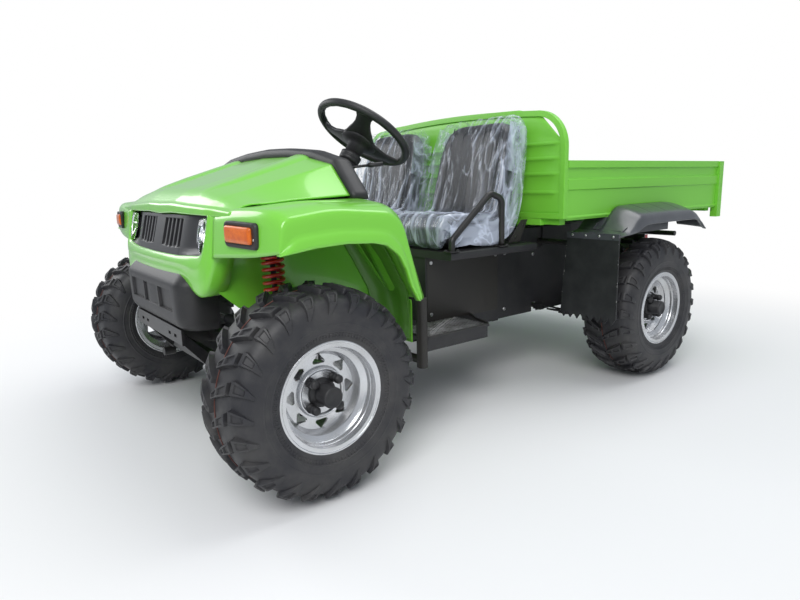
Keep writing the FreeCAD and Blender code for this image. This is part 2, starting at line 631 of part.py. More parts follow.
def dash_cowl():
    """Raised arch behind the hood, closed by the dash board below it."""
    row = HOOD_SECTIONS[-1]
    line = hood_line(row, COWL_RISE)
    arch = prism("y", (aft(row[0] + 1), aft(row[0] + COWL_DEPTH)), band(line, PANEL + COWL_RISE))
    arch = arch.common(block((-700, 700), (aft(0), aft(row[0] + COWL_DEPTH)), (row[-1] - 4, row[1] + 50)))
    board_line = hood_line(row, -PANEL)
    side, low = BULKHEAD_X - 2, BULKHEAD_TOP
    board = prism("y", (aft(row[0] + COWL_DEPTH - 8), aft(row[0] + COWL_DEPTH - 2)),
                  board_line + [(side, row[-1] - 2), (side, low), (-side, low), (-side, row[-1] - 2)])
    hole = rod(column_point(-420), column_point(-300), COLUMN_RADIUS + 1)
    return fuse([arch, board]).cut(hole)


def fender_front():
    """Left front fender: a top skin bent over the wheel and an outer wall round the arch."""
    face = FENDER_OUTER - FENDER_BEAD
    spread = face - NOSE_HALF_WIDTH
    # Distance from the middle, then behind the axle and height of the front lip, front top,
    # rear top and rear lip, and the height of the crest
    sections = [
        (NOSE_HALF_WIDTH, -186, 701, -180, 838, 280, 846, 470, 508, 844),
        (NOSE_HALF_WIDTH + spread * 0.365, -172, 712, -168, 845, 290, 862, 478, 512, 858),
        (NOSE_HALF_WIDTH + spread * 0.672, -156, 720, -150, 843, 280, 852, 410, 535, 862),
        (NOSE_HALF_WIDTH + spread * 0.934, -140, 726, -134, 832, 262, 836, 352, 552, 852),
        (NOSE_HALF_WIDTH + spread, -128, 728, -120, 818, 246, 822, 330, 556, 838),
    ]
    wires = []
    for x, front, lip, nose, top, rear, rear_top, tail, tail_z, crest in sections:
        line = [(aft(front), lip), (aft(nose), top, 40), (aft(26), crest, 500), (aft(rear), rear_top, 90),
                (aft(tail), tail_z)]
        wires.append(outline("x", x, band(line, PANEL)))
    skin = loft(wires)
    wall = prism("x", (face - 1, face + PANEL), arch_wall())
    edge = prism("x", (face + PANEL - 1, FENDER_OUTER), arch_wall(rim=True))
    return fuse([skin, wall, edge])


def arch_wall(rim=False):
    """Outline of the fender's outer face between its crest and the wheel arch."""
    upper = [(-126, 729), (-118, 816, 40), (26, 836, 500), (244, 820, 90), (328, 556)]
    lower = [(292, 551), (262, 655, 70), (190, 736, 90), (60, 749, 600), (-104, 722, 60)]
    if rim:
        upper = [(-126, 729), (-122, 752, 10), (40, 778, 500), (212, 766, 90), (290, 690, 60), (326, 556)]
    return [(aft(corner[0]),) + tuple(corner[1:]) for corner in upper + lower]


def wheelhouse():
    """Inner walls beside the front wheels and the wall between them and the cab."""
    inner = NOSE_HALF_WIDTH - 40
    rear_d = HOOD_SECTIONS[-1][0] + COWL_DEPTH
    side = prism("x", (inner - PANEL, inner),
                 [(aft(-91), 527, 20), (aft(-160), 590, 10), (aft(-150), 815), (aft(190), 835), (aft(rear_d - 12), 800),
                  (aft(rear_d - 12), BULKHEAD_TOP - 4), (aft(rear_d + 2), BULKHEAD_TOP - 8), (aft(478), 502),
                  (aft(478), 440), (aft(300), 430, 30), (aft(60), 530, 40)])
    side = side.cut(block((inner - 20, inner + 20), (aft(-34), aft(34)), (684, 732)))
    wall_line = [(aft(rear_d + 2), BULKHEAD_TOP), (aft(480), 500, 60), (aft(480), RAIL_TOP_LINE)]
    half = POST_X - POST_RADIUS - 3
    rear = prism("x", (-half, half), band(wall_line, PANEL))
    for wing in both(block((BULKHEAD_X, half + 1), (aft(200), aft(520)), (500, 900))):
        rear = rear.cut(wing)
    return fuse([rear] + both(side))


def nose_panel():
    """Surround of the grille, open in the middle, with a lobe down each side of the bumper."""
    front = aft(NOSE_FRONT)
    wires = []
    for level, back in ((NOSE_BOTTOM - 10, 0.0), (GRILLE_BOTTOM, 0.0), (NOSE_TOP, 36.0)):
        plan = [(-NOSE_HALF_WIDTH + 1, aft(-186) + back / 2), (-412, aft(-200) + back * 0.8, 60),
                (-231, front + back, 200), (0, front - 3 + back, 900), (231, front + back, 200),
                (412, aft(-200) + back * 0.8, 60), (NOSE_HALF_WIDTH - 1, aft(-186) + back / 2)]
        wires.append(outline("z", level, band(plan[::-1], -8)))
    sheet = Part.makeLoft(wires, True, True)
    face = [(-NOSE_HALF_WIDTH, NOSE_TOP), (NOSE_HALF_WIDTH, NOSE_TOP), (NOSE_HALF_WIDTH, 690, 40),
            (432, NOSE_BOTTOM, 34), (330, NOSE_BOTTOM, 40), (296, BUMPER_TOP + 12, 20), (-296, BUMPER_TOP + 12, 20),
            (-330, NOSE_BOTTOM, 40), (-432, NOSE_BOTTOM, 34), (-NOSE_HALF_WIDTH, 690, 40)]
    opening = [(-GRILLE_HALF_WIDTH, NOSE_TOP + 20), (GRILLE_HALF_WIDTH, NOSE_TOP + 20),
               (GRILLE_HALF_WIDTH - 6, GRILLE_BOTTOM, 40), (-GRILLE_HALF_WIDTH + 6, GRILLE_BOTTOM, 40)]
    levels = (front - 40, aft(-120))
    return sheet.common(prism("y", levels, face)).cut(prism("y", levels, opening))


def grille():
    """Grille with slats either side of a plain rib, and a pocket for a lamp at each end."""
    front = aft(NOSE_FRONT + 12)
    half = GRILLE_HALF_WIDTH - 2
    plan = [(-half, aft(-184)), (-231, front, 200), (231, front, 200), (half, aft(-184))]
    opening = [(-half, NOSE_TOP - 1), (half, NOSE_TOP - 1), (half - 6, GRILLE_BOTTOM + 2, 40),
               (-half + 6, GRILLE_BOTTOM + 2, 40)]
    body = prism("z", (GRILLE_BOTTOM, NOSE_TOP), band(plan[::-1], -22))
    body = body.common(prism("y", (front - 30, aft(-100)), opening))
    slot = block((-SLOT_WIDTH / 2, SLOT_WIDTH / 2), (front - 5, front + 15), (GRILLE_BOTTOM + 24, NOSE_TOP - 12))
    for k in range(SLOT_COUNT):
        for x in (SLOT_START + k * SLOT_PITCH, -SLOT_START - k * SLOT_PITCH):
            cutter = slot.copy()
            cutter.translate(Vector(x, 0, 0))
            body = body.cut(cutter)
    for pocket in both(lamp_shape(1.0)):
        body = body.cut(pocket)
    return leaned(body)


def leaned(shape):
    """The shape tipped backwards about the lower edge of the grille."""
    shape.rotate(Vector(0, aft(NOSE_FRONT + 12), GRILLE_BOTTOM), Vector(1, 0, 0), -GRILLE_LEAN)
    return shape


def lamp_shape(gap):
    """Almond outline of the left headlight, pushed back into the grille."""
    line = [(412 + gap, 811 + gap, 12), (356 - gap, 806 + gap, 12), (356 - gap, 766, 40), (392, 712 - gap, 10),
            (408 + gap, 718 - gap, 10)]
    return prism("y", (aft(NOSE_FRONT + 14 - gap * 30), aft(NOSE_FRONT + 50)), line)


def headlights():
    """Clear lamp at each end of the grille."""
    front = aft(NOSE_FRONT + 12)
    plan = [(230, front - 2), (416, aft(-188)), (416, aft(-170)), (230, aft(-170))]
    lamp = lamp_shape(0.0).common(prism("z", (690, 830), plan))
    return Part.makeCompound(both(leaned(lamp)))


def turn_signals():
    """Amber lamp in a rounded bezel on each fender's front face."""
    lamp = loft([outline("y", aft(-176), [(530, 748, 12), (686, 744, 12), (686, 808, 12), (530, 812, 12)]),
                 outline("y", aft(-192), [(540, 756, 8), (676, 752, 8), (676, 800, 8), (540, 804, 8)])])
    lamp.rotate(Vector(608, aft(-176), 780), Vector(0, 0, 1), 8)
    return Part.makeCompound(both(lamp))


def front_bumper():
    """Moulded bumper with a long recess in its face."""
    front = aft(BUMPER_FRONT)
    low = [(-292, front + 3, 40), (292, front + 3, 40), (BUMPER_HALF_WIDTH, aft(-118)),
           (-BUMPER_HALF_WIDTH, aft(-118))]
    wires = []
    for z, grow in ((BUMPER_BOTTOM, 0), (BUMPER_TOP - 26, 0), (BUMPER_TOP, -22)):
        wires.append(outline("z", z, [(x + math.copysign(grow, x), y - (grow if y < aft(-200) else 0), r)
                                      for x, y, r in [(c + (0,))[:3] for c in low]]))
    body = loft(wires)
    hollow = block((-270, 270), (front + 24, aft(-100)), (BUMPER_BOTTOM - 10, BUMPER_TOP - 16))
    recess = prism("y", (front - 5, front + 14), [(-238, 512, 10), (238, 512, 10), (246, 578, 10), (-246, 578, 10)])
    body = body.cut(hollow).cut(recess)
    ribs = [block((x - 7, x + 7), (front + 5, front + 16), (510, 580)) for x in (-84, 84)]
    return fuse([body] + ribs)


def floor_pan():
    """Cab floor that runs out into a step on each side."""
    neck = POST_X - POST_RADIUS - 3
    plan = [(-FLOOR_HALF_WIDTH, aft(FLOOR_FRONT + 46)), (-neck, aft(FLOOR_FRONT + 46)), (-neck, aft(FLOOR_FRONT)),
            (neck, aft(FLOOR_FRONT)), (neck, aft(FLOOR_FRONT + 46)), (FLOOR_HALF_WIDTH, aft(FLOOR_FRONT + 46)),
            (FLOOR_HALF_WIDTH, aft(STEP_REAR), 14), (SEAT_BOX_HALF_WIDTH + 4, aft(STEP_REAR + 80)),
            (SEAT_BOX_HALF_WIDTH + 4, aft(SEAT_BOX_FRONT - 2)), (-SEAT_BOX_HALF_WIDTH - 4, aft(SEAT_BOX_FRONT - 2)),
            (-SEAT_BOX_HALF_WIDTH - 4, aft(STEP_REAR + 80)), (-FLOOR_HALF_WIDTH, aft(STEP_REAR), 14)]
    plate = prism("z", (FLOOR_TOP - 6, FLOOR_TOP), plan)
    skirt_low = FLOOR_TOP - 48
    skirt = block((FLOOR_HALF_WIDTH - 4, FLOOR_HALF_WIDTH), (aft(FLOOR_FRONT + 46), aft(STEP_REAR - 14)),
                  (skirt_low, FLOOR_TOP - 3))
    return fuse([plate] + both(skirt))


def seat_box():
    """Open-topped box under the seats and the side covers behind it."""
    half, wall = SEAT_BOX_HALF_WIDTH, 4.0
    low, high = SEAT_BOX_BOTTOM, DECK_BOTTOM - 1
    front = block((-half, half), (aft(SEAT_BOX_FRONT), aft(SEAT_BOX_FRONT) + wall), (RAIL_TOP_LINE, high))
    sides = both(block((half - wall, half), (aft(SEAT_BOX_FRONT), aft(SEAT_BOX_REAR)), (RAIL_TOP_LINE, high)))
    skirts = both(block((half - wall, half), (aft(STEP_REAR + 90), aft(SEAT_BOX_REAR)), (low, RAIL_TOP_LINE + 5)))
    rear = block((-half, half), (aft(SEAT_BOX_REAR) - wall, aft(SEAT_BOX_REAR)), (RAIL_TOP_LINE, high))
    cover = block((half - wall, half), (aft(SEAT_BOX_REAR) - wall, aft(COVER_REAR)), (low + 4, COVER_TOP))
    crests = [block((half - wall, half), (aft(front), aft(rear)), (COVER_TOP - 1, COVER_CREST))
              for front, rear in ((1184, FENDER_TUBES[0] - 20), (FENDER_TUBES[0] + 20, COVER_REAR))]
    hanger = aft(WHEELBASE - SPRING_REACH - 12)
    cover = cover.cut(block((half - wall - 1, half + 1), (hanger - 17, hanger + 17), (low, HANGER_HEIGHT + 17)))
    return fuse([front, rear] + sides + skirts + both(fuse([cover] + crests)))


def power_unit():
    """Plain block of the power unit inside the seat box."""
    return block((-250, 250), (aft(770), aft(1070)), (RAIL_TOP_LINE, 590))


def seat_deck():
    """Flat deck that carries the seats and the hip bars."""
    return prism("y", (aft(SEAT_BOX_FRONT - 6), aft(1176)),
                 [(-DECK_HALF_WIDTH, DECK_BOTTOM, 8), (DECK_HALF_WIDTH, DECK_BOTTOM, 8),
                  (DECK_HALF_WIDTH, DECK_TOP, 8), (-DECK_HALF_WIDTH, DECK_TOP, 8)])


def seat():
    """Left bucket seat: cushion and back in one shell."""
    base = DECK_TOP + 1
    line = [(680, base, 10), (664, 718, 20), (696, 776, 30), (1030, 742, 50), (1098, SEAT_TOP - 30, 24),
            (1132, SEAT_TOP, 24), (1166, SEAT_TOP - 24, 20), (1136, 700, 40), (1110, base, 10)]
    profile = [(aft(corner[0]), corner[1], corner[2]) for corner in line]
    half = SEAT_WIDTH / 2
    body = prism("x", (SEAT_CENTRE - half, SEAT_CENTRE + half), profile)
    front_view = [(SEAT_CENTRE - half, base), (SEAT_CENTRE + half, base), (SEAT_CENTRE + half, 900, 100),
                  (SEAT_CENTRE + half - 18, SEAT_TOP, 60), (SEAT_CENTRE - half + 18, SEAT_TOP, 60),
                  (SEAT_CENTRE - half, 900, 100)]
    return body.common(prism("y", (aft(600), aft(1200)), front_view))


def hip_bars():
    """Bent tube beside each seat."""
    x = HIP_BAR_X
    points = [Vector(x, aft(702), DECK_TOP), Vector(x, aft(702), 700), Vector(x, aft(905), 856),
              Vector(x, aft(974), 838), Vector(x, aft(974), DECK_TOP)]
    bar = bent_tube(points, HIP_BAR_RADIUS, 36)
    return Part.makeCompound(both(bar))


def column_point(distance):
    """Point on the steering column, measured up from the steering wheel's centre."""
    angle = math.radians(COLUMN_ANGLE)
    x, d, z = WHEEL_CENTRE
    return Vector(x, aft(d) + distance * math.cos(angle), z + distance * math.sin(angle))


def steering_column():
    """Column tube with a shroud, a switch stalk and the shaft down to the rack."""
    tube = rod(column_point(-372), column_point(-118), COLUMN_RADIUS)
    shroud = rod(column_point(-200), column_point(-62), 34)
    head = column_point(-150)
    stalk = rod(head, head + Vector(60, 70, 10), 6)
    tip = rod(head + Vector(60, 70, 10), head + Vector(86, 100, 14), 9)
    return fuse([tube, shroud, stalk, tip])


def steering_wheel():
    """Rim, three spokes and boss, turned about the column."""
    ring = Part.makeTorus(WHEEL_RADIUS - WHEEL_GRIP, WHEEL_GRIP)
    boss = Part.makeCylinder(34, 62, Vector(0, 0, -56))
    cap = Part.makeCylinder(44, 14, Vector(0, 0, -10))
    pieces = [ring, boss, cap]
    for angle in (90, 210, 330):
        spoke = block((20, WHEEL_RADIUS - WHEEL_GRIP), (-15, 15), (-9, 1))
        spoke.rotate(Vector(0, 0, 0), Vector(0, 0, 1), angle + 180)
        pieces.append(spoke)
    wheel = fuse(pieces)
    wheel.rotate(Vector(0, 0, 0), Vector(1, 0, 0), COLUMN_ANGLE - 90)
    wheel.translate(column_point(0))
    return wheel


def fender_rear():
    """Left rear fender beside the bed: a flat-topped arch with walls down both edges."""
    # Distance from the middle, then the drop of the whole section
    sections = [(REAR_FENDER_X, 0.0), (770, 0.0), (FENDER_OUTER - 17, 12.0)]
    wires = []
    for x, drop in sections:
        line = [(1365, 650 - drop), (1436, 662 - drop, 30), (1540, 786 - drop, 60), (2000, 786 - drop, 60),
                (2088, 656 - drop)]
        wires.append(outline("x", x, band([(aft(c[0]),) + tuple(c[1:]) for c in line], PANEL)))
    skin = loft(wires)
    lip = [(1365, 638), (1438, 650, 30), (1540, 774, 60), (2000, 774, 60), (2088, 644), (2076, 640),
           (1984, 706, 60), (1566, 708, 60), (1450, 628, 30), (1368, 626)]
    wall = prism("x", (FENDER_OUTER - 18, FENDER_OUTER), [(aft(c[0]),) + tuple(c[1:]) for c in lip])
    hollow = prism("x", (FENDER_OUTER - 30, FENDER_OUTER - PANEL),
                   [(aft(1380), 600), (aft(1450), 640), (aft(1552), 763), (aft(1990), 763), (aft(2068), 640)])
    inner = [(1365, 646), (1438, 658, 30), (1540, 782, 60), (2000, 782, 60), (2088, 652), (2080, 642),
             (1996, 730, 60), (1552, 730, 60), (1440, 642, 30), (1368, 641)]
    inboard = prism("x", (REAR_FENDER_X, REAR_FENDER_X + PANEL), [(aft(c[0]),) + tuple(c[1:]) for c in inner])
    tongue = prism("x", (REAR_FENDER_INNER, REAR_FENDER_X + 1),
                   [(aft(1365), 642), (aft(1365), 650), (aft(1434), 660, 30), (aft(1488), 726),
                     (aft(1493), 722), (aft(1438), 653, 30)])
    return fuse([skin, wall.cut(hollow), inboard, tongue])


def mud_flaps():
    """Flap ahead of each rear wheel, its lower edge cut into teeth."""
    y = aft(1365)
    inner = REAR_FENDER_INNER - 26
    pitch = (FENDER_OUTER - inner) / FLAP_TOOTH_COUNT
    teeth = []
    for k in range(FLAP_TOOTH_COUNT):
        start = FENDER_OUTER - pitch * k
        teeth += [(start, FLAP_BOTTOM), (start - pitch / 2, FLAP_BOTTOM - FLAP_TEETH)]
    corners = [(inner, FLAP_BOTTOM), (REAR_FENDER_INNER, 652), (FENDER_OUTER, 640)] + teeth
    return Part.makeCompound(both(prism("y", (y - 5, y), corners)))


def tail_lamps():
    """Red lamp on each end of the frame's rear."""
    lamp = block((300, 385), (aft(RAIL_REAR + 6), aft(RAIL_REAR + 34)), (522, 588))
    return Part.makeCompound(both(lamp))


def gate_barrel(middle, half, radius=GATE_BARREL_RADIUS):
    """Short round bar on the tailgate's hinge line."""
    return rod(Vector(middle - half, aft(GATE_AXIS[0]), GATE_AXIS[1]),
               Vector(middle + half, aft(GATE_AXIS[0]), GATE_AXIS[1]), radius)


def bed_floor():
    """Ribbed floor on two long channels and cross members."""
    wall = BED_WALL
    half = BED_HALF_WIDTH - wall - 5
    front, rear = aft(BED_FRONT + wall + 1), aft(BED_REAR - TAILGATE_THICKNESS - MOVING_GAP - 6)
    plate = block((-half, half), (front, rear), (BED_BOTTOM + 8, BED_BOTTOM + 12))
    ribs = []
    for k in range(-5, 6):
        x = k * 110
        ribs.append(prism("y", (front + 20, rear - 20), [(x - 26, BED_BOTTOM + 11), (x + 26, BED_BOTTOM + 11),
                                                          (x + 18, BED_BOTTOM + 18), (x - 18, BED_BOTTOM + 18)]))
    low = UPPER_RAIL_TOP + 7
    channels = [block((x - 20, x + 20), (front, rear), (low, BED_BOTTOM + 9)) for x in (-UPPER_RAIL_X, UPPER_RAIL_X)]
    crosses = [block((-half + 10, half - 10), (aft(d) - 18, aft(d) + 18), (BED_BOTTOM - 26, BED_BOTTOM + 9))
               for d in (BED_FRONT + wall + 20, 1640, 2060, BED_REAR - 56)]
    lugs = [prism("x", (x - 8, x + 8), [(aft(TILT_AXIS[0]) - 30, low + 4), (aft(TILT_AXIS[0]) + 30, low + 4),
                                        (aft(TILT_AXIS[0]) + 16, TILT_AXIS[1] - 16, 12),
                                        (aft(TILT_AXIS[0]) - 16, TILT_AXIS[1] - 16, 12)])
            for x in (-UPPER_RAIL_X - 34, UPPER_RAIL_X + 34)]
    pin_hole = rod(Vector(-400, aft(TILT_AXIS[0]), TILT_AXIS[1]), Vector(400, aft(TILT_AXIS[0]), TILT_AXIS[1]),
                   TILT_PIN_RADIUS + PIN_GAP)
    lugs = [lug.cut(pin_hole) for lug in lugs]
    hinge = []
    for x in GATE_HINGES:
        for side in (-1, 1):
            middle = x + side * (GATE_HINGE_HALF + 2 + 15)
            hinge.append(gate_barrel(middle, 15))
            hinge.append(block((middle - 15, middle + 15), (rear - 12, aft(GATE_AXIS[0])),
                               (GATE_AXIS[1] - 4, GATE_AXIS[1] + 4)))
        hinge.append(gate_barrel(x, GATE_HINGE_HALF + 20, GATE_PIN_RADIUS))
    links = [block((min(x, x * 0.8), max(x, x * 0.8)), (aft(TILT_AXIS[0]) - 30, aft(TILT_AXIS[0]) + 30),
                   (low, low + 10)) for x in (-UPPER_RAIL_X - 42, UPPER_RAIL_X + 42)]
    return fuse([plate] + ribs + channels + crosses + lugs + links + hinge)


def headboard():
    """Front wall of the bed with a rolled rim and pressed bands."""
    y = aft(BED_FRONT)
    half, top = BED_HALF_WIDTH, HEADBOARD_TOP

    def shape(inset):
        corner = HEADBOARD_CORNER - inset
        return [(-half + inset, BED_BOTTOM + inset * 0.2), (half - inset, BED_BOTTOM + inset * 0.2),
                (half - inset, top - inset, corner), (0, top + HEADBOARD_CROWN - inset),
                (-half + inset, top - inset, corner)]

    # The sheet's corners are cut off straight, which leaves a gap inside the round rim
    corner = HEADBOARD_CORNER * 0.62
    sheet = prism("y", (y + 6, y + 12), [(-half + 2, BED_BOTTOM + 1), (half - 2, BED_BOTTOM + 1), (half - 2, top - corner),
                                         (half - corner, top - 4), (0, top + HEADBOARD_CROWN - 4),
                                         (-half + corner, top - 4), (-half + 2, top - corner)])
    sheet = sheet.common(prism("y", (y, y + 20), shape(2)))
    rim = prism("y", (y, y + BED_WALL), shape(0)).cut(prism("y", (y - 5, y + BED_WALL + 5), shape(24)))
    bands = [block((-half + 40, half - 40), (y + 1, y + 8), (level - 7, level + 7)) for level in HEADBOARD_RIBS]
    foot = block((-half + 2, half - 2), (y + 2, y + BED_WALL), (BED_BOTTOM, BED_BOTTOM + 30))
    return fuse([sheet, rim, foot] + bands)


def bed_side():
    """Left wall of the bed: top rail, recessed band, raised band and lower panel."""
    x = BED_HALF_WIDTH
    section = [(x - BED_WALL, BED_BOTTOM), (x - 2, BED_BOTTOM), (x - 2, BED_BOTTOM + 8), (x - 6, BED_BOTTOM + 12),
               (x - 6, 856), (x, 862), (x, 900), (x - 8, 906), (x - 8, RAIL_TOP - 32), (x + 2, RAIL_TOP - 30, 5),
               (x + 2, RAIL_TOP, 5), (x - 30, RAIL_TOP, 5), (x - 30, RAIL_TOP - 26), (x - BED_WALL, RAIL_TOP - 30)]
    wall = prism("y", (aft(BED_FRONT + BED_WALL + 1), aft(BED_REAR - 40)), section)
    post = block((x - 28, x + 10), (aft(BED_REAR - 42), aft(BED_REAR)), (688, RAIL_TOP))
    return fuse([wall, post])


def tailgate():
    """Rear wall of the bed, hinged along its foot."""
    half = BED_HALF_WIDTH - 28 - MOVING_GAP
    y = aft(BED_REAR - 2)
    low, high = GATE_AXIS[1] + GATE_BARREL_RADIUS + MOVING_GAP, RAIL_TOP - 4
    sheet = block((-half, half), (y - TAILGATE_THICKNESS, y - 4), (low, high))
    pocket = block((-half + 30, half - 30), (y - 12, y + 5), (low + 34, high - 34))
    face = block((-half, half), (y - 5, y), (low, high)).cut(pocket)
    barrels = []
    for x in GATE_HINGES:
        barrels.append(gate_barrel(x, GATE_HINGE_HALF))
        barrels.append(block((x - GATE_HINGE_HALF, x + GATE_HINGE_HALF),
                             (aft(GATE_AXIS[0]) - 5, aft(GATE_AXIS[0]) + 5), (GATE_AXIS[1], low + 2)))
    gate = fuse([sheet.cut(pocket), face] + barrels)
    return gate.cut(gate_barrel(0, BED_HALF_WIDTH, GATE_PIN_RADIUS + PIN_GAP))


os.makedirs("parts", exist_ok=True)

wheels()
left_knuckle = knuckle()
rack_housing, tie_rods = steering_gear()
axle, springs = rear_suspension()

save("side_rails", side_rails())
save("upper_rails", upper_rails())
save("cross_members", cross_members())
save("step_tubes", step_tubes())
save("damper_towers", damper_towers())
save("frame_brackets", frame_brackets())
save("knuckle_left", left_knuckle)
save("knuckle_right", mirrored(left_knuckle))
save("front_arms", front_arms())
save("front_dampers", Part.makeCompound(both(coil_over())))
save("rack_housing", rack_housing)
save("tie_rods", tie_rods)
save("rear_axle", axle)
save("leaf_springs", springs)
save("hood", hood())
save("dash_cowl", dash_cowl())
save("fender_front_left", fender_front())
save("fender_front_right", mirrored(fender_front()))
save("wheelhouse", wheelhouse())
save("nose_panel", nose_panel())
save("grille", grille())
save("headlights", headlights())
save("turn_signals", turn_signals())
save("front_bumper", front_bumper())
save("floor_pan", floor_pan())
save("seat_box", seat_box())
save("power_unit", power_unit())
save("seat_deck", seat_deck())
save("seat_left", seat())
save("seat_right", mirrored(seat()))
save("hip_bars", hip_bars())
save("steering_column", steering_column())
save("steering_wheel", steering_wheel())
save("fender_rear_left", fender_rear())
save("fender_rear_right", mirrored(fender_rear()))
save("mud_flaps", mud_flaps())
save("tail_lamps", tail_lamps())
save("bed_floor", bed_floor())
save("headboard", headboard())
save("bed_side_left", bed_side())
save("bed_side_right", mirrored(bed_side()))
save("tailgate", tailgate())
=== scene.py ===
# %% [markdown]
# A side by side utility vehicle, dressed around its packed construction model.
#
# The construction holds the real sizes: rails, arms, wheels, panels and bed, in metres, on the
# ground, facing -Y. This notebook gives it its finish, piece by piece: rubber, moulded plastic,
# paint, vinyl and film. A piece that the construction holds only roughly is worked out again
# as a surface of numpy points, because numbers keep it true to the table it came from.

# %% The frame
import json
import math

import bmesh
import bpy
import numpy as np
from mathutils import Matrix, Vector


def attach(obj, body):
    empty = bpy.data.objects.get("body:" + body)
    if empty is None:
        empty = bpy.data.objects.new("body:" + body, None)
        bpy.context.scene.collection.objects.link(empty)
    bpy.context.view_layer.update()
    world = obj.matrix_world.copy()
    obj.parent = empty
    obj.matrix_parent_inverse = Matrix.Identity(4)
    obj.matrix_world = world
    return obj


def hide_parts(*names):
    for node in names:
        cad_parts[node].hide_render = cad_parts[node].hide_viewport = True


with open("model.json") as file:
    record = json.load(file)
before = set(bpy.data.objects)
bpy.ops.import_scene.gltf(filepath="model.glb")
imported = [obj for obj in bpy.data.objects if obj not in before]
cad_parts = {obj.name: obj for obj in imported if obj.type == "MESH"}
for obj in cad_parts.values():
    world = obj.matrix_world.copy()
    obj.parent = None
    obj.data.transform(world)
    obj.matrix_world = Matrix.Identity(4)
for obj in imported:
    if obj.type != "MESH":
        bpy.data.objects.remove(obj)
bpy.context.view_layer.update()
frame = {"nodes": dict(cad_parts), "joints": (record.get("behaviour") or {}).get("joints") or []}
MM = 0.001

# %% [markdown]
# Every station comes from the joints of the frame, so a wheel and the panel over it can't drift
# apart. Distances along the vehicle are millimetres behind the front axle.

# %% Stations read from the frame
joints = {joint["name"]: joint for joint in frame["joints"]}
front_hub = np.array(joints["wheel_front_left_spin"]["pos_m"])
rear_hub = np.array(joints["wheel_rear_left_spin"]["pos_m"])
AXLE_Y, AXLE_Z = front_hub[1:]
print("front axle y", round(AXLE_Y, 4), "rear axle y", round(rear_hub[1], 4), "axle height",
      round(AXLE_Z, 4))


def at(x, d, z):
    """Point in metres from x, the distance behind the front axle and z, all in millimetres."""
    return np.stack(np.broadcast_arrays(np.asarray(x, float) * MM, AXLE_Y + np.asarray(d, float) * MM,
                                        np.asarray(z, float) * MM), axis=-1)


# %% [markdown]
# A surface is a grid of points, rows by columns, whose neighbours are joined by quads. The
# grid is closed round either way if asked. Each piece keeps its place in its mesh and stays at
# the origin, so that patterns on Object coordinates hold still while it rides its body.

# %% From arrays to pieces
def grid_faces(rows, columns, close_rows=False, close_columns=False):
    """Quads between neighbours of a grid, joined end to start where asked."""
    r = np.arange(rows if close_rows else rows - 1)[:, None]
    c = np.arange(columns if close_columns else columns - 1)[None, :]
    r2, c2 = (r + 1) % rows, (c + 1) % columns
    quads = np.stack([r * columns + c, r * columns + c2, r2 * columns + c2, r2 * columns + c], axis=-1)
    return quads.reshape(-1, 4).tolist()


def sheet_of(points, close_rows=False, close_columns=False):
    """(points, faces) of a rows by columns by 3 array."""
    rows, columns = points.shape[:2]
    return points.reshape(-1, 3), grid_faces(rows, columns, close_rows, close_columns)


def tube_of(points):
    """(points, faces) of rings stacked along the rows, with a cap at both ends."""
    rows, columns = points.shape[:2]
    faces = grid_faces(rows, columns, close_columns=True)
    faces += [list(range(columns))[::-1], list(range((rows - 1) * columns, rows * columns))]
    return points.reshape(-1, 3), faces


def joined(parts):
    """One (points, faces) pair from several."""
    points, faces, start = [], [], 0
    for some_points, some_faces in parts:
        points.append(np.asarray(some_points, float).reshape(-1, 3))
        faces += [[index + start for index in face] for face in some_faces]
        start += len(points[-1])
    return np.concatenate(points), faces


def other_side(surface):
    """The mirror image of a surface on the right of the vehicle."""
    points = np.array(surface[0], float)
    points[:, 0] *= -1
    return points, [list(face)[::-1] for face in surface[1]]


def pair_of(surface):
    """A surface and its mirror image as one."""
    return joined([surface, other_side(surface)])


def piece_of(name, surface, body, material, smooth=True, closed=True):
    """Object from (points, faces), riding on a body; a closed shape has its faces turned outwards."""
    mesh = bpy.data.meshes.new(name)
    faces = [[int(index) for index in face] for face in surface[1]]
    mesh.from_pydata(np.asarray(surface[0], float).tolist(), [], faces)
    work = bmesh.new()
    work.from_mesh(mesh)
    bmesh.ops.remove_doubles(work, verts=work.verts, dist=2e-6)
    bmesh.ops.dissolve_degenerate(work, edges=work.edges, dist=1e-7)
    if closed:
        bmesh.ops.recalc_face_normals(work, faces=work.faces)
    work.to_mesh(mesh)
    work.free()
    mesh.polygons.foreach_set("use_smooth", [smooth] * len(mesh.polygons))
    mesh.materials.append(material)
    piece = bpy.data.objects.new(name, mesh)
    bpy.context.scene.collection.objects.link(piece)
    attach(piece, body)
    return piece


def softened(piece, width_mm, segments=2, angle=30):
    """Rounded edges wherever two faces meet at more than the angle."""
    bevel = piece.modifiers.new("rounded edges", "BEVEL")
    bevel.width, bevel.segments = width_mm * MM, segments
    bevel.limit_method, bevel.angle_limit = "ANGLE", math.radians(angle)
    piece.modifiers.new("even shading", "WEIGHTED_NORMAL")
    return piece


def thickened(piece, millimetres, inwards=True):
    """Thickness on one side of an open sheet."""
    solid = piece.modifiers.new("sheet thickness", "SOLIDIFY")
    solid.thickness, solid.offset = millimetres * MM, -1 if inwards else 1
    return piece


# %% [markdown]
# Most bodywork lines are straight runs with round corners. Such a line is sampled with the same
# number of points each time, so that several of them side by side make a clean grid. Between
# sections a cubic spline carries every point, which keeps highlights flowing.

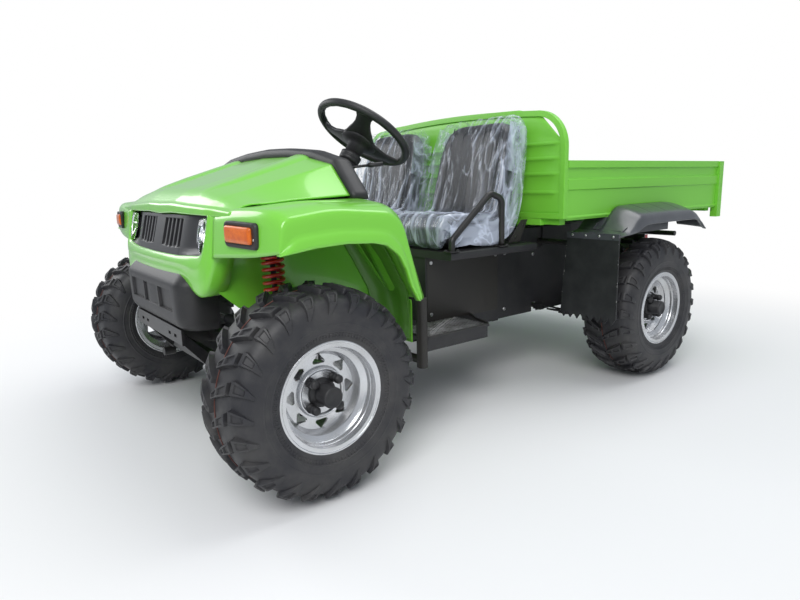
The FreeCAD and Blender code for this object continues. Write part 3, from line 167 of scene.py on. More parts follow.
# %% Lines, sweeps and turned shapes
def rounded_line(corners, steps=6, run=4, closed=False):
    """Points along straight runs with arcs of each corner's radius, given last in its row:
    an arc starts radius / tan(half the corner's angle) before the corner."""
    corners = [np.asarray(corner, float) for corner in corners]
    width = len(corners[0]) - 1
    count = len(corners)
    arcs = []
    for index, corner in enumerate(corners):
        here, radius = corner[:width], corner[width]
        if radius <= 0 or (not closed and index in (0, count - 1)):
            arcs.append(np.repeat(here[None], 1, axis=0))
            continue
        back = corners[index - 1][:width] - here
        on = corners[(index + 1) % count][:width] - here
        back, on = back / np.linalg.norm(back), on / np.linalg.norm(on)
        half = math.acos(max(-1.0, min(1.0, back.dot(on)))) / 2
        reach = radius / math.tan(half)
        middle = here + (back + on) / np.linalg.norm(back + on) * radius / math.sin(half)
        start, end = here + back * reach - middle, here + on * reach - middle
        sweep = math.pi - 2 * half
        share = np.linspace(0, 1, steps + 1)[:, None]
        arcs.append(middle + (np.sin((1 - share) * sweep) * start + np.sin(share * sweep) * end)
                    / math.sin(sweep))
    line = []
    for index in range(count):
        line.append(arcs[index])
        if index < count - 1 or closed:
            following = arcs[(index + 1) % count][0]
            share = np.linspace(0, 1, run + 1)[1:-1, None]
            line.append(arcs[index][-1] * (1 - share) + following * share)
    return np.concatenate(line)


def resampled(line, count, closed=False):
    """Evenly spaced points along a line, by its running length."""
    line = np.asarray(line, float)
    if closed:
        line = np.concatenate([line, line[:1]])
    length = np.concatenate([[0], np.cumsum(np.linalg.norm(np.diff(line, axis=0), axis=1))])
    wanted = np.linspace(0, length[-1], count + 1)[:-1] if closed else np.linspace(0, length[-1], count)
    return np.stack([np.interp(wanted, length, line[:, k]) for k in range(line.shape[1])], axis=-1)


def splined(places, values, wanted):
    """Natural cubic through the values at the places: its second slopes solve one linear system."""
    places, values = np.asarray(places, float), np.asarray(values, float)
    flat = values.reshape(len(places), -1)
    gap = np.diff(places)
    system = np.eye(len(places))
    right = np.zeros_like(flat)
    for k in range(1, len(places) - 1):
        system[k, k - 1:k + 2] = gap[k - 1], 2 * (gap[k - 1] + gap[k]), gap[k]
        right[k] = 6 * ((flat[k + 1] - flat[k]) / gap[k] - (flat[k] - flat[k - 1]) / gap[k - 1])
    bend = np.linalg.solve(system, right)
    wanted = np.asarray(wanted, float)
    k = np.clip(np.searchsorted(places, wanted) - 1, 0, len(gap) - 1)
    h, a, b = gap[k][:, None], (places[k + 1] - wanted)[:, None], (wanted - places[k])[:, None]
    curve = (bend[k] * a ** 3 + bend[k + 1] * b ** 3) / (6 * h) + (flat[k] / h - bend[k] * h / 6) * a \
        + (flat[k + 1] / h - bend[k + 1] * h / 6) * b
    return curve.reshape((len(wanted),) + values.shape[1:])


def round_bar(path, radius, sides=14, closed=False, squash=1.0):
    """Bar along a path of metres: a circle square to the path at each point, turned as little
    as possible from one point to the next. Radius may change along it."""
    path = np.asarray(path, float)
    ahead = np.roll(path, -1, axis=0) - np.roll(path, 1, axis=0)
    if not closed:
        ahead[0], ahead[-1] = path[1] - path[0], path[-1] - path[-2]
    ahead /= np.linalg.norm(ahead, axis=1)[:, None]
    side = np.array(Vector(ahead[0]).orthogonal().normalized())
    sideways = []
    for direction in ahead:
        side = side - direction * side.dot(direction)
        side /= np.linalg.norm(side)
        sideways.append(side)
    sideways = np.array(sideways)
    upwards = np.cross(ahead, sideways)
    turns = 2 * np.pi * np.arange(sides) / sides
    radius = np.broadcast_to(np.asarray(radius, float), (len(path),))[:, None, None]
    rings = path[:, None] + radius * (np.cos(turns)[None, :, None] * sideways[:, None]
                                      + squash * np.sin(turns)[None, :, None] * upwards[:, None])
    return sheet_of(rings, close_rows=True, close_columns=True) if closed else tube_of(rings)


def turned(centre, axis, profile, count=32):
    """Turned shape: each (along, radius) of the profile in millimetres is a circle about the
    axis, the centre plus along times the axis plus radius times the cosine and sine of the turn."""
    axis = np.array(Vector(axis).normalized())
    side = np.array(Vector(axis).orthogonal().normalized())
    up = np.cross(axis, side)
    along, radius = np.asarray(profile, float).T * MM
    turns = 2 * np.pi * np.arange(count) / count
    spin = np.cos(turns)[:, None] * side + np.sin(turns)[:, None] * up
    return tube_of(np.asarray(centre, float) + along[:, None, None] * axis + radius[:, None, None] * spin)


def pushed(plane, levels, line):
    """Prism from a closed line in millimetres: plane x holds (d, z), plane y (x, z), plane z (x, d)."""
    line = np.asarray(line, float)
    rings = []
    for level in levels:
        places = {"x": (level, line[:, 0], line[:, 1]), "y": (line[:, 0], level, line[:, 1]),
                  "z": (line[:, 0], line[:, 1], level)}[plane]
        rings.append(at(*places))
    return tube_of(np.array(rings))


def slab(x, d, z):
    """Box between two values along each axis, in millimetres."""
    return pushed("z", z, [(x[0], d[0]), (x[1], d[0]), (x[1], d[1]), (x[0], d[1])])


# %% [markdown]
# The finishes. Moulded plastic and rubber scatter light softly and carry a fine grain; paint
# lies smooth under a clear coat. Grain and orange peel are noise on Object coordinates, fed to
# a bump, while each colour is set straight on the shader, so a repaint is one value.

# %% Finishes
def finish_of(name, colour, roughness, grain=0.0, scale=400.0, dust=None, patch=6.0, **inputs):
    """Principled surface: an even colour, or one that a slow noise of the given patch scale turns
    towards dust, with a fine noise bump of the given strength."""
    material = bpy.data.materials.new(name)
    material.use_nodes = True
    nodes, links = material.node_tree.nodes, material.node_tree.links
    shader = nodes["Principled BSDF"]
    shader.inputs["Base Color"].default_value = (*colour, 1)
    shader.inputs["Roughness"].default_value = roughness
    for key, value in inputs.items():
        shader.inputs[key.replace("_", " ")].default_value = value
    if grain:
        place = nodes.new("ShaderNodeTexCoord")
        noise = nodes.new("ShaderNodeTexNoise")
        noise.inputs["Scale"].default_value = scale
        noise.inputs["Detail"].default_value = 4
        bump = nodes.new("ShaderNodeBump")
        bump.inputs["Strength"].default_value = grain
        bump.inputs["Distance"].default_value = 0.001
        links.new(place.outputs["Object"], noise.inputs["Vector"])
        links.new(noise.outputs["Fac"], bump.inputs["Height"])
        links.new(bump.outputs["Normal"], shader.inputs["Normal"])
    if dust:
        spread = nodes.new("ShaderNodeTexCoord")
        cloud = nodes.new("ShaderNodeTexNoise")
        cloud.inputs["Scale"].default_value = patch
        cloud.inputs["Detail"].default_value = 6
        cloud.inputs["Roughness"].default_value = 0.65
        ramp = nodes.new("ShaderNodeValToRGB")
        ramp.color_ramp.elements[0].position, ramp.color_ramp.elements[1].position = 0.38, 0.72
        ramp.color_ramp.elements[0].color = (*colour, 1)
        ramp.color_ramp.elements[1].color = (*dust, 1)
        links.new(spread.outputs["Object"], cloud.inputs["Vector"])
        links.new(cloud.outputs["Fac"], ramp.inputs["Fac"])
        links.new(ramp.outputs["Color"], shader.inputs["Base Color"])
    return material


LIME = (0.185, 0.58, 0.046)
lime_plastic = finish_of("lime_moulded_plastic", LIME, 0.3, 0.03, 60, Coat_Weight=0.6, Coat_Roughness=0.08)
# The liner is the lime plastic at half its brightness: painted shade of the wheel well.
lime_liner_painted_shade = finish_of("lime_liner_painted_shade_finish", tuple(0.5 * part for part in LIME), 0.4, 0.05, 90,
                        Coat_Weight=0.2)
lime_paint = finish_of("lime_bed_paint", LIME, 0.42, 0.05, 160, Coat_Weight=0.25, Coat_Roughness=0.2)
black_plastic = finish_of("grained_black_plastic", (0.014, 0.014, 0.016), 0.48, 0.25, 900,
                          dust=(0.026, 0.025, 0.025), patch=7)
satin_plastic = finish_of("satin_grille_plastic", (0.012, 0.012, 0.014), 0.42, 0.06, 500,
                          dust=(0.02, 0.02, 0.022), patch=8)
fender_plastic = finish_of("rear_fender_plastic", (0.045, 0.048, 0.055), 0.3, 0.15, 700,
                           dust=(0.07, 0.074, 0.082), patch=6, Coat_Weight=0.4, Coat_Roughness=0.2)
bumper_plastic = finish_of("bumper_brown_plastic", (0.03, 0.026, 0.023), 0.5, 0.25, 800,
                           dust=(0.055, 0.047, 0.04), patch=9)
chassis_paint = finish_of("chassis_satin_paint", (0.01, 0.01, 0.011), 0.38, 0.1, 120,
                          dust=(0.03, 0.027, 0.024), patch=5)
tread_rubber = finish_of("tyre_rubber", (0.018, 0.018, 0.022), 0.52, 0.2, 300, dust=(0.05, 0.048, 0.047),
                         patch=9)
mould_brown = finish_of("mould_line_brown", (0.12, 0.04, 0.03), 0.6)
flap_rubber = finish_of("flap_fibre_rubber", (0.011, 0.012, 0.013), 0.5, 0.3, 350,
                        dust=(0.026, 0.027, 0.028), patch=12)
wheel_silver = finish_of("wheel_silver_paint", (0.66, 0.67, 0.69), 0.27, 0.04, 200, dust=(0.55, 0.55, 0.55),
                         patch=10, Metallic=0.85)
zinc_steel = finish_of("zinc_plated_steel", (0.5, 0.5, 0.5), 0.35, 0.08, 500, Metallic=1.0)
cast_metal = finish_of("cast_metal", (0.09, 0.09, 0.095), 0.6, 0.5, 350, Metallic=0.6)
spring_paint = finish_of("spring_red_paint", (0.5, 0.018, 0.012), 0.3, 0.05, 200, Coat_Weight=0.5)
seat_vinyl = finish_of("seat_black_vinyl", (0.009, 0.009, 0.01), 0.42, 0.3, 600, dust=(0.016, 0.016, 0.017),
                       patch=8)
reflector_chrome = finish_of("reflector_chrome", (0.8, 0.8, 0.82), 0.1, Metallic=1.0)
amber_lens = finish_of("amber_lens", (0.72, 0.15, 0.003), 0.3, 0.1, 700, dust=(0.5, 0.07, 0.002), patch=45,
                       Coat_Weight=0.3)
red_lens = finish_of("red_lens", (0.5, 0.008, 0.008), 0.15, 0.3, 700, Coat_Weight=1.0)
pale_thread = finish_of("pale_flap_thread", (0.42, 0.42, 0.4), 0.8)
worn_steel = finish_of("worn_step_steel", (0.3, 0.3, 0.3), 0.4, 0.3, 220, dust=(0.06, 0.055, 0.05),
                       patch=20, Metallic=0.7)
bracket_brown = finish_of("warm_black_panel", (0.022, 0.02, 0.017), 0.5, 0.2, 300)
clear_lens = finish_of("clear_lens", (0.95, 0.97, 1.0), 0.05, IOR=1.3, Transmission_Weight=1.0)
print("finishes", len(bpy.data.materials))

# %% [markdown]
# The construction nodes that stay in sight get these finishes on the slots of their objects.
# Their meshes aren't touched.

# %% Finishes on the construction
finish_of_slot = {"body_green": lime_plastic, "bed_green": lime_paint, "trim_black": black_plastic,
                  "fender_grey": fender_plastic, "bumper_grey": bumper_plastic,
                  "chassis_black": chassis_paint, "tyre": tread_rubber, "rim_silver": wheel_silver,
                  "steel": zinc_steel, "spring_red": spring_paint, "lamp_clear": clear_lens,
                  "lamp_amber": amber_lens, "lamp_red": red_lens, "seat_vinyl": seat_vinyl,
                  "flap_rubber": flap_rubber, "casting": cast_metal}
for node in frame["nodes"].values():
    for place in node.material_slots:
        wanted = finish_of_slot[place.material.name.split(".")[0]]
        place.link = "OBJECT"
        place.material = wanted
print("construction nodes with a finish", len(frame["nodes"]))

# %% [markdown]
# ## Tyres
# A balloon tyre for soft ground: a thin carcass with slanted lugs, staggered from one shoulder
# to the other. The carcass is a smooth cross-section turned about the axle. A lug is a small
# grid laid on that cross-section, and how far out each point stands depends only on where it is
# in the grid: that gives the walls, the flat top and the sunken pockets. Each lug is a bar
# across the tread and, past a notch, a block that runs down the shoulder to a tip.

# %% Tyre cross-section
LUG_COUNT = 24
# A tyre is never wider or taller than its size: half width and radius over the lugs
TYRE_HALF_WIDTH, TYRE_RADIUS = 123.4, 316.6
# Half section from the middle of the tread to the bead: distance from the middle, radius
HALF_SECTION = [(0, 299), (35, 298.5), (70, 295), (95, 287), (111, 272), (119, 252), (122.5, 228),
                (121.5, 205), (117.5, 186), (111.5, 170), (107.5, 158), (106, 151.5), (101, 150.6)]
section_steps = np.concatenate([[0], np.cumsum(np.hypot(*np.diff(HALF_SECTION, axis=0).T))])


def section_point(step):
    """Place on the half section after a running length in millimetres: spline through the table."""
    return splined(section_steps, HALF_SECTION, np.ravel(step))


def section_normal(step):
    """Outward direction there: the slope of the section, turned a quarter."""
    slope = section_point(np.ravel(step) + 0.5) - section_point(np.ravel(step) - 0.5)
    slope /= np.linalg.norm(slope, axis=1)[:, None]
    return np.stack([-slope[:, 1], slope[:, 0]], axis=-1)


print("half section length in mm", round(section_steps[-1], 1))


# %% [markdown]
# The carcass is the section turned once round the axle. Two thin rings are raised on the
# sidewall by adding a narrow bell curve to the section, which takes a few extra rows there.

# %% Carcass
def about_axle(x, radius, turns):
    """Points in metres from a distance along the axle, a radius and an angle about it."""
    return np.stack(np.broadcast_arrays(x, radius * np.cos(turns), radius * np.sin(turns)), axis=-1) * MM


# Running length of the section at the two rings of the sidewall
OUTER_RING, INNER_RING = 176, 200


def carcass(count=128):
    """Full section, with thin rings raised on each sidewall, turned round the X axis."""
    step = np.unique(np.concatenate([np.linspace(0, section_steps[-1], 46),
                                     OUTER_RING + np.linspace(-6, 6, 9),
                                     INNER_RING + np.linspace(-7, 7, 9)]))
    line = section_point(step)
    ring = 1.9 * np.exp(-((step - INNER_RING) / 2.4) ** 4) + 1.4 * np.exp(-((step - OUTER_RING) / 1.8) ** 2)
    line = line + section_normal(step) * ring[:, None]
    full = np.concatenate([line[::-1], line[1:] * (-1, 1)])
    turns = 2 * np.pi * np.arange(count) / count
    points = about_axle(full[:, 0][:, None], full[:, 1][:, None], turns)
    return sheet_of(points, close_rows=True, close_columns=True)


# %% [markdown]
# The lugs are cast in the mould, so each has sloping walls and a flat top. One table gives the
# rows of a lug and another its columns, and the same two tables serve all of them.

# %% Lugs
# Rows along a lug: running length from the middle of the tread, what stands there (0 foot,
# 1 top, 2 pocket), half width, slant round the axle and height over the carcass
TREAD_BAR = [(1, 0, 8, 29, 12), (4, 1, 8, 28, 15), (10, 1, 9, 25, 16.5), (12, 2, 9.5, 24, 16.8),
             (22, 2, 11.5, 18.5, 17.3), (32, 2, 13, 13, 17.3), (34, 1, 13, 12, 17.3),
             (40, 1, 13.5, 9, 17.2), (42, 2, 14, 8, 17.2), (55, 2, 15.5, 2, 16.8), (68, 2, 17, -4, 16),
             (70, 1, 17, -5, 15.8), (77, 1, 18, -8, 15.5), (80, 0, 18.5, -9, 13)]
SHOULDER_BLOCK = [(86, 0, 20, -13, 13), (89, 1, 20, -14, 14), (96, 1, 19, -14, 13.5),
                  (98, 2, 18.5, -14, 13.2), (108, 2, 16, -11.5, 11.5), (119, 2, 13, -8, 9.5),
                  (121, 1, 12.5, -7.5, 9), (134, 1, 8.5, -1, 6.5), (147, 1, 5, 5, 4.2),
                  (152, 0, 3.5, 8, 2.5)]
# Columns across a lug: share of its half width, and what stands there
LUG_COLUMNS = [(-1.1, 0), (-0.9, 1), (-0.6, 1), (-0.5, 2), (0.5, 2), (0.6, 1), (0.9, 1), (1.1, 0)]
POCKET_DEPTH, FOOT_DEPTH = 5.5, 3.0


def lugs(table):
    """All lugs of one table: each point stands as high as the lower of its row and its column
    asks, and its slant and share of the width swing it round the axle."""
    step, row_kind, half, slant, top = np.array(table, float).T
    share, column_kind = np.array(LUG_COLUMNS, float).T
    place, normal = section_point(step), section_normal(step)
    foot = (row_kind[:, None] == 0) | (column_kind == 0)
    pocket = (row_kind[:, None] == 2) & (column_kind == 2)
    rise = np.where(foot, -FOOT_DEPTH, top[:, None] - POCKET_DEPTH * pocket)
    x = place[:, 0][:, None] + normal[:, 0][:, None] * rise
    radius = place[:, 1][:, None] + normal[:, 1][:, None] * rise
    swing = (slant[:, None] + half[:, None] * share) / place[:, 1][:, None].clip(200)
    x = np.minimum(x, TYRE_HALF_WIDTH)
    radius = np.minimum(radius, TYRE_RADIUS)
    parts = []
    for side, phase in ((1, 0.0), (-1, 0.5)):
        for k in range(LUG_COUNT):
            turn = 2 * np.pi * (k + phase) / LUG_COUNT + swing
            points, faces = sheet_of(about_axle(side * x, radius, turn))
            parts.append((points, faces if side > 0 else [face[::-1] for face in faces]))
    return joined(parts)


def bead_marks(count=110):
    """Fine radial bars round the foot of each sidewall: a short bar in the section's plane,
    repeated round the axle."""
    step = np.array([204.0, 216.0])
    line, normal = section_point(step), section_normal(step)
    bar = np.array([line[0] - normal[0], line[0] + normal[0] * 1.3, line[1] + normal[1] * 1.3,
                    line[1] - normal[1]])
    parts = []
    for side in (1, -1):
        for k in range(count):
            rings = []
            for shift in (-1.6, 1.6):
                turn = side * (2 * np.pi * k / count + shift / 165)
                rings.append(about_axle(side * bar[:, 0], bar[:, 1], turn))
            parts.append(tube_of(np.array(rings[::-1])))
    return joined(parts)


def mould_line(radius=300.0, bar=1.7):
    """Thin raised line where the halves of the mould met, round the middle of the tread."""
    turns = np.linspace(0, 2 * np.pi, 120, endpoint=False)
    return round_bar(about_axle(0 * turns, radius, turns), bar * MM, 6, closed=True)


# %% [markdown]
# The tread leans the same way on both sides of the vehicle, so the right wheels get the mirror
# image. The lugs stay flat shaded under a one-millimetre bevel, as moulded edges are.

# %% The four tyres
def placed(surface, place, outwards):
    """A wheel part about the X axis moved to its hub, its +X face turned outwards."""
    points = np.array(surface[0], float)
    faces = surface[1]
    if outwards < 0:
        points = points * (-1, 1, 1)
        faces = [list(face)[::-1] for face in faces]
    return points + place, faces


lug_shape = joined([lugs(TREAD_BAR), lugs(SHOULDER_BLOCK)])
body_shape, line_shape = joined([carcass(), bead_marks()]), mould_line()
WHEELS = [(end, side, sign, np.array(joints["wheel_%s_%s_spin" % (end, side)]["pos_m"]))
          for end in ("front", "rear") for side, sign in (("left", 1), ("right", -1))]
for end, side, sign, hub in WHEELS:
    corner = "%s_%s" % (end, side)
    tyre = piece_of("tyre_carcass_" + corner, placed(body_shape, hub, sign), "wheel_" + corner,
                    tread_rubber)
    blocks = piece_of("tyre_lugs_" + corner, placed(lug_shape, hub, sign), "wheel_" + corner, tread_rubber,
                      smooth=False, closed=False)
    softened(blocks, 1.0, 1, 40)
    piece_of("tyre_mould_line_" + corner, placed(line_shape, hub, sign), "wheel_" + corner, mould_brown)
    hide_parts("tyre_" + corner)
print("carcass faces", len(body_shape[1]), "lug faces", len(lug_shape[1]),
      "outer radius mm", round(1000 * np.hypot(*lug_shape[0][:, 1:].T).max(), 1))

# %% [markdown]
# ## Rims
# A pressed steel wheel: a rolled barrel with a dished disc, eight windows between its spokes and
# a raised ring round the four nuts. The construction has the barrel and the windows at full
# size, so it stays, and only what it leaves plain is added: the rolled edges and steps of the
# barrel, the ring, long capped nuts, the black hub and the valve.

# %% Rim dressings
# How far the disc stands out of the wheel's middle plane, and the radii that its parts stand on
DISC, NUT_CIRCLE, VALVE_CIRCLE = 44.0, 55.0, 118.0
# Profile of the rolled barrel: distance from the middle plane and radius
barrel_steps = [(109, 158), (110.5, 161), (110, 165), (107, 167), (103, 166), (100, 163), (99, 158),
                (98.5, 150.6), (96, 148.4), (88, 147.8), (86, 147.2), (84, 144.8), (80, 143.6), (74, 143.2),
                (71.5, 142.6), (69.5, 139.6), (66, 136), (62, 131), (60, 127.6), (57, 126.2), (52, 125.9),
                (52, 128.5), (62, 136), (72, 146), (98, 156)]
turns = 2 * np.pi * np.arange(96) / 96
silver_rings = []
for flip in (1, -1):
    along, radius = np.array(barrel_steps).T[:, :, None]
    rows = about_axle(flip * along, radius, flip * turns)
    silver_rings.append(sheet_of(rows, close_rows=True, close_columns=True))
disc_ring = [(DISC - 10, 78), (DISC - 2, 76), (DISC + 3.5, 73.5), (DISC + 5, 71), (DISC + 5, 68),
             (DISC + 3, 65.5), (DISC - 2, 63), (DISC - 4, 60)]
silver_rings.append(turned((0, 0, 0), (1, 0, 0), disc_ring, 64))
silver = joined(silver_rings)
# Black parts: the hub, the collar at its foot, a cap on each nut and the valve
hub_cap = [(DISC - 2, 32), (DISC + 30, 32), (DISC + 31, 31.2), (108, 31.2), (111.5, 29.5), (113, 27),
           (113, 23), (111.8, 22), (111.8, 0.5)]
hub_collar = [(DISC - 1, 44), (DISC + 5, 44), (DISC + 8, 40), (DISC + 14, 34), (DISC + 16, 30)]
nut_cap = [(DISC, 15), (DISC + 7, 15), (DISC + 8, 12.4), (DISC + 24, 12), (DISC + 26, 13.4),
           (DISC + 38, 13), (DISC + 42, 9), (DISC + 43, 0.5)]
black_parts = [turned((0, 0, 0), (1, 0, 0), profile, 40) for profile in (hub_cap, hub_collar)]
for k in range(4):
    turn = 2 * math.pi * (k + 0.5) / 4
    centre = (0, NUT_CIRCLE * MM * math.cos(turn), NUT_CIRCLE * MM * math.sin(turn))
    black_parts.append(turned(centre, (1, 0, 0), nut_cap, 18))
valve_turn = 2.5
root = np.array((DISC + 14, VALVE_CIRCLE * math.cos(valve_turn), VALVE_CIRCLE * math.sin(valve_turn))) * MM
black_parts.append(round_bar([root, root + (0.016, 0.001, 0), root + (0.028, 0.004, 0)], 3.4 * MM, 10))
black = joined(black_parts)
for end, side, sign, hub in WHEELS:
    corner = "%s_%s" % (end, side)
    piece_of("rim_rolled_steps_" + corner, placed(silver, hub, sign), "wheel_" + corner, wheel_silver)
    piece_of("hub_and_nut_caps_" + corner, placed(black, hub, sign), "wheel_" + corner, black_plastic)
print("rims dressed", len(WHEELS), "ring faces", len(silver[1]))

# %% [markdown]
# ## Hood
# One moulded shell from the grille to the cab, highest along its middle, with a shoulder that
# drops to the fender. Its lines are measured as sections: each is a rounded line, and a spline
# joins the same point of every section along the vehicle. A raised spine on each side widens
# towards the cab and stiffens the shell. The front rows curl into the lip over the grille.

# %% Hood sections
# Distance behind the axle, then height of the middle, x and height of ridge, shoulder and foot
HOOD_TABLE = [(-176, 858, 250, 854, 428, 847, 570, 838), (-150, 882, 280, 877, 436, 866, 576, 850),
              (-70, 916, 320, 911, 452, 893, 582, 858), (25, 944, 335, 938, 464, 918, 587, 864),
              (115, 974, 346, 964, 476, 941, 590, 868), (228, 1012.5, 357, 996.5, 491, 971.5, 592, 872)]
PLAN_X = [0, 130, 231, 330, 412, 464, 600]
PLAN_BACK = [0, 1, 3, 6, 10, 18, 26]
# Spine on the hood: distance behind the axle, its middle, half its width and its height
SPINE = [(-185, 228, 20, 0.0), (-146, 252, 36, 0.0), (-110, 268, 40, 2.0), (-66, 284, 44, 6.5),
         (20, 291, 50, 10.0), (119, 287, 60, 11.0), (228, 285, 66, 12.0)]


def hood_half(row, lift=0.0):
    """Half a section from the middle to the foot: straight runs, rounded at ridge and shoulder."""
    middle, ridge_x, ridge_z, shoulder_x, shoulder_z, foot_x, foot_z = row
    corners = [(0, middle + lift, 0), (ridge_x * 0.5, middle * 0.5 + ridge_z * 0.5 + 3.5 + lift, 400),
               (ridge_x, ridge_z + lift, 130), (shoulder_x + lift * 0.7, shoulder_z + lift * 0.8, 22),
               (foot_x + lift, foot_z, 0)]
    return resampled(rounded_line(corners, 8, 6), 84)


def hood_grid():
    """Splined sections; near the front, a row is pulled forward by the curve of the nose in plan,
    and the last rows roll over an arc into the upright lip."""
    table = np.array(HOOD_TABLE, float)
    sections = np.array([hood_half(row[1:]) for row in table])
    d = np.linspace(-176, 228, 46)
    lines = splined(table[:, 0], sections, d)
    spine = np.array(SPINE)
    middle, half, height = (np.interp(d, spine[:, 0], spine[:, k])[:, None] for k in (1, 2, 3))
    across = np.clip(np.abs(lines[..., 0] - middle) / half, 0, 1)
    lines[..., 1] += height * (1 - across ** 2.6) ** 0.9
    places = d[:, None] + 0 * lines[..., 0]
    # The lip: a quarter turn, then 26 mm straight down
    turn = np.linspace(0, np.pi / 2, 6)[1:]
    back = np.concatenate([11 * np.sin(turn), 11 + 0 * np.linspace(0, 1, 4)])
    fall = np.concatenate([12 * (1 - np.cos(turn)), 12 + np.linspace(0, 1, 5)[1:] * 24])
    lip_lines = np.repeat(lines[:1], len(back), axis=0)
    lip_lines[..., 1] -= fall[:, None] * np.linspace(1, 0.55, lines.shape[1])
    lip_places = places[:1] - back[:, None]
    lines = np.concatenate([lip_lines[::-1], lines])
    places = np.concatenate([lip_places[::-1], places])
    forward = -np.interp(lines[..., 0], PLAN_X, PLAN_BACK)
    fade = np.clip((20 - places) / 190, 0, 1) ** 1.6
    places = places - forward * fade
    return at(lines[..., 0], places, lines[..., 1])


half_hood = hood_grid()
mirror = half_hood[:, :0:-1] * (-1, 1, 1)
hood_shell = piece_of("hood_shell", sheet_of(np.concatenate([mirror, half_hood], axis=1)), "chassis",
                      lime_plastic)
thickened(hood_shell, 4)
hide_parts("hood")
print("hood front at d", round((half_hood[..., 1].min() - AXLE_Y) * 1000, 1), "top",
      round(half_hood[..., 2].max(), 4))

# %% [markdown]
# ## Cowl
# A black arch clips over the rear edge of the hood and hides the joint in front of the driver.
# It is the hood's last section, lifted a little and swept backwards with a rounded profile.

# %% Cowl over the dash
cowl_profile = np.array([(227, 0.0), (228, 9), (231, 15), (237, 19), (248, 21), (266, 21), (280, 19),
                         (289, 14), (293, 6), (294, -6), (294, -40), (286, -40), (227, -14)])
COWL_CROWN = 12.0
last = np.array(HOOD_TABLE[-1][1:], float)
cowl_rings = []
for d, lift in cowl_profile:
    section = hood_half(last, lift)
    section[:, 1] += COWL_CROWN * np.clip(1 - (section[:, 0] / last[3]) ** 2, 0, 1)
    section[-1, 1] -= 14
    cowl_rings.append(at(section[:, 0], d, section[:, 1]))
cowl_rings = np.array(cowl_rings)
cowl_ring = np.swapaxes(np.concatenate([cowl_rings[:, :0:-1] * (-1, 1, 1), cowl_rings], axis=1), 0, 1)
cowl = piece_of("cowl_arch", tube_of(cowl_ring), "chassis", black_plastic)
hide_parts("dash_cowl")
print("cowl top", round(cowl_ring[..., 2].max(), 4))

# %% [markdown]
# ## Dash board
# A plain panel closes the hood's rear end, from under the cowl down to the wall between the
# wheels and the cab. Its upper edge is the hood's last section again, so no gap can open.

# %% Dash board
# Distance behind the axle, height of the foot, half width at the foot, gap under the cowl
DASH_D, DASH_FOOT, DASH_HALF, DASH_GAP = 288, 764, 458, 3
under = hood_half(last)
board_rows = np.array([at(under[:, 0], DASH_D, under[:, 1] - DASH_GAP),
                       at(np.minimum(under[:, 0], DASH_HALF), DASH_D, DASH_FOOT)])
board_rows = np.concatenate([board_rows[:, :0:-1] * (-1, 1, 1), board_rows], axis=1)
board = piece_of("dash_board", sheet_of(board_rows), "chassis", black_plastic, smooth=False,
                 closed=False)
thickened(board, 4)
print("dash board height in mm", round(under[0, 1] - DASH_GAP - DASH_FOOT))

# %% [markdown]
# ## Front fenders
# Each fender is one moulding: it rises from a lip beside the grille, runs level over the wheel
# and falls behind it to a point, and its outer face is cut by the wheel arch under a raised bead.
# The top skin is splined between five lines measured at five distances from the middle. The
# outer face is a strip between the skin's edge and the arch, paired point by point.

# %% Front fender
# x, then d and z of: front lip, front top, crest, rear top, tail
FENDER_LINES = [(464, -184, 701, -168, 840, 20, 848, 280, 846, 470, 508),
                (592, -174, 711, -162, 846, 24, 860, 292, 862, 478, 512),
                (700, -158, 719, -152, 846, 26, 864, 286, 852, 424, 535),
                (775, -146, 729, -138, 838, 28, 856, 272, 838, 372, 548),
                (812, -140, 734, -128, 822, 28, 842, 256, 822, 334, 555)]
# The wheel arch, d and z from the front to the tail, and how far out the skin reaches
FENDER_SIDE = 812.0
ARCH = [(-141, 731), (-124, 733), (-96, 736), (-34, 744), (60, 748), (150, 743), (196, 733), (240, 700),
        (266, 655), (285, 600), (312, 553)]


def fender_top():
    """Top skin: each line is rounded at its corners, resampled alike, then splined across x."""
    lines = []
    for row in FENDER_LINES:
        pairs = np.reshape(row[1:], (5, 2))
        lines.append(resampled(rounded_line(np.column_stack([pairs, (0, 34, 500, 90, 0)]), 10, 10), 70))
    stations = [row[0] for row in FENDER_LINES]
    x = np.array([464, 480, 520, 560, 592, 630, 665, 700, 730, 755, 775, 790, 800, 807, FENDER_SIDE])
    grid = splined(stations, np.array(lines), x)
    return x, grid


def fender_grid():
    """Top skin, a rounded edge, the outer face down to the arch with its bead, and a turned-in lip."""
    x, top = fender_top()
    x = x[:, None] + 0 * top[..., 0]
    edge = top[-1]
    arch = resampled(np.array(ARCH, float), 70)
    rows_x, rows = [], []
    for share, out in ((0.06, 3.5), (0.16, 5.5), (0.3, 6.0), (0.5, 6.0), (0.6, 6.5), (0.66, 10.0),
                       (0.71, 12.5), (0.78, 14.0), (0.9, 15.5), (1.0, 16.5)):
        rows_x.append(FENDER_SIDE + out + 0 * edge[:, 0])
        rows.append(edge * (1 - share) + arch * share)
    rows_x.append(FENDER_SIDE + 14 + 0 * edge[:, 0])
    rows.append(arch + (arch - edge) / np.linalg.norm(arch - edge + 0.01, axis=1)[:, None] * 2)
    rows_x.append(FENDER_SIDE - 6 + 0 * edge[:, 0])
    rows.append(rows[-1])
    return at(np.concatenate([x, rows_x]), np.concatenate([top[..., 0], np.array(rows)[..., 0]]),
              np.concatenate([top[..., 1], np.array(rows)[..., 1]]))


fender_surface = sheet_of(fender_grid())
for side, shape in (("left", fender_surface), ("right", other_side(fender_surface))):
    fender = piece_of("front_fender_" + side, shape, "chassis", lime_plastic, closed=False)
    thickened(fender, 3.5, inwards=False)
    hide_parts("fender_front_" + side)
print("front fender points", len(fender_surface[0]))

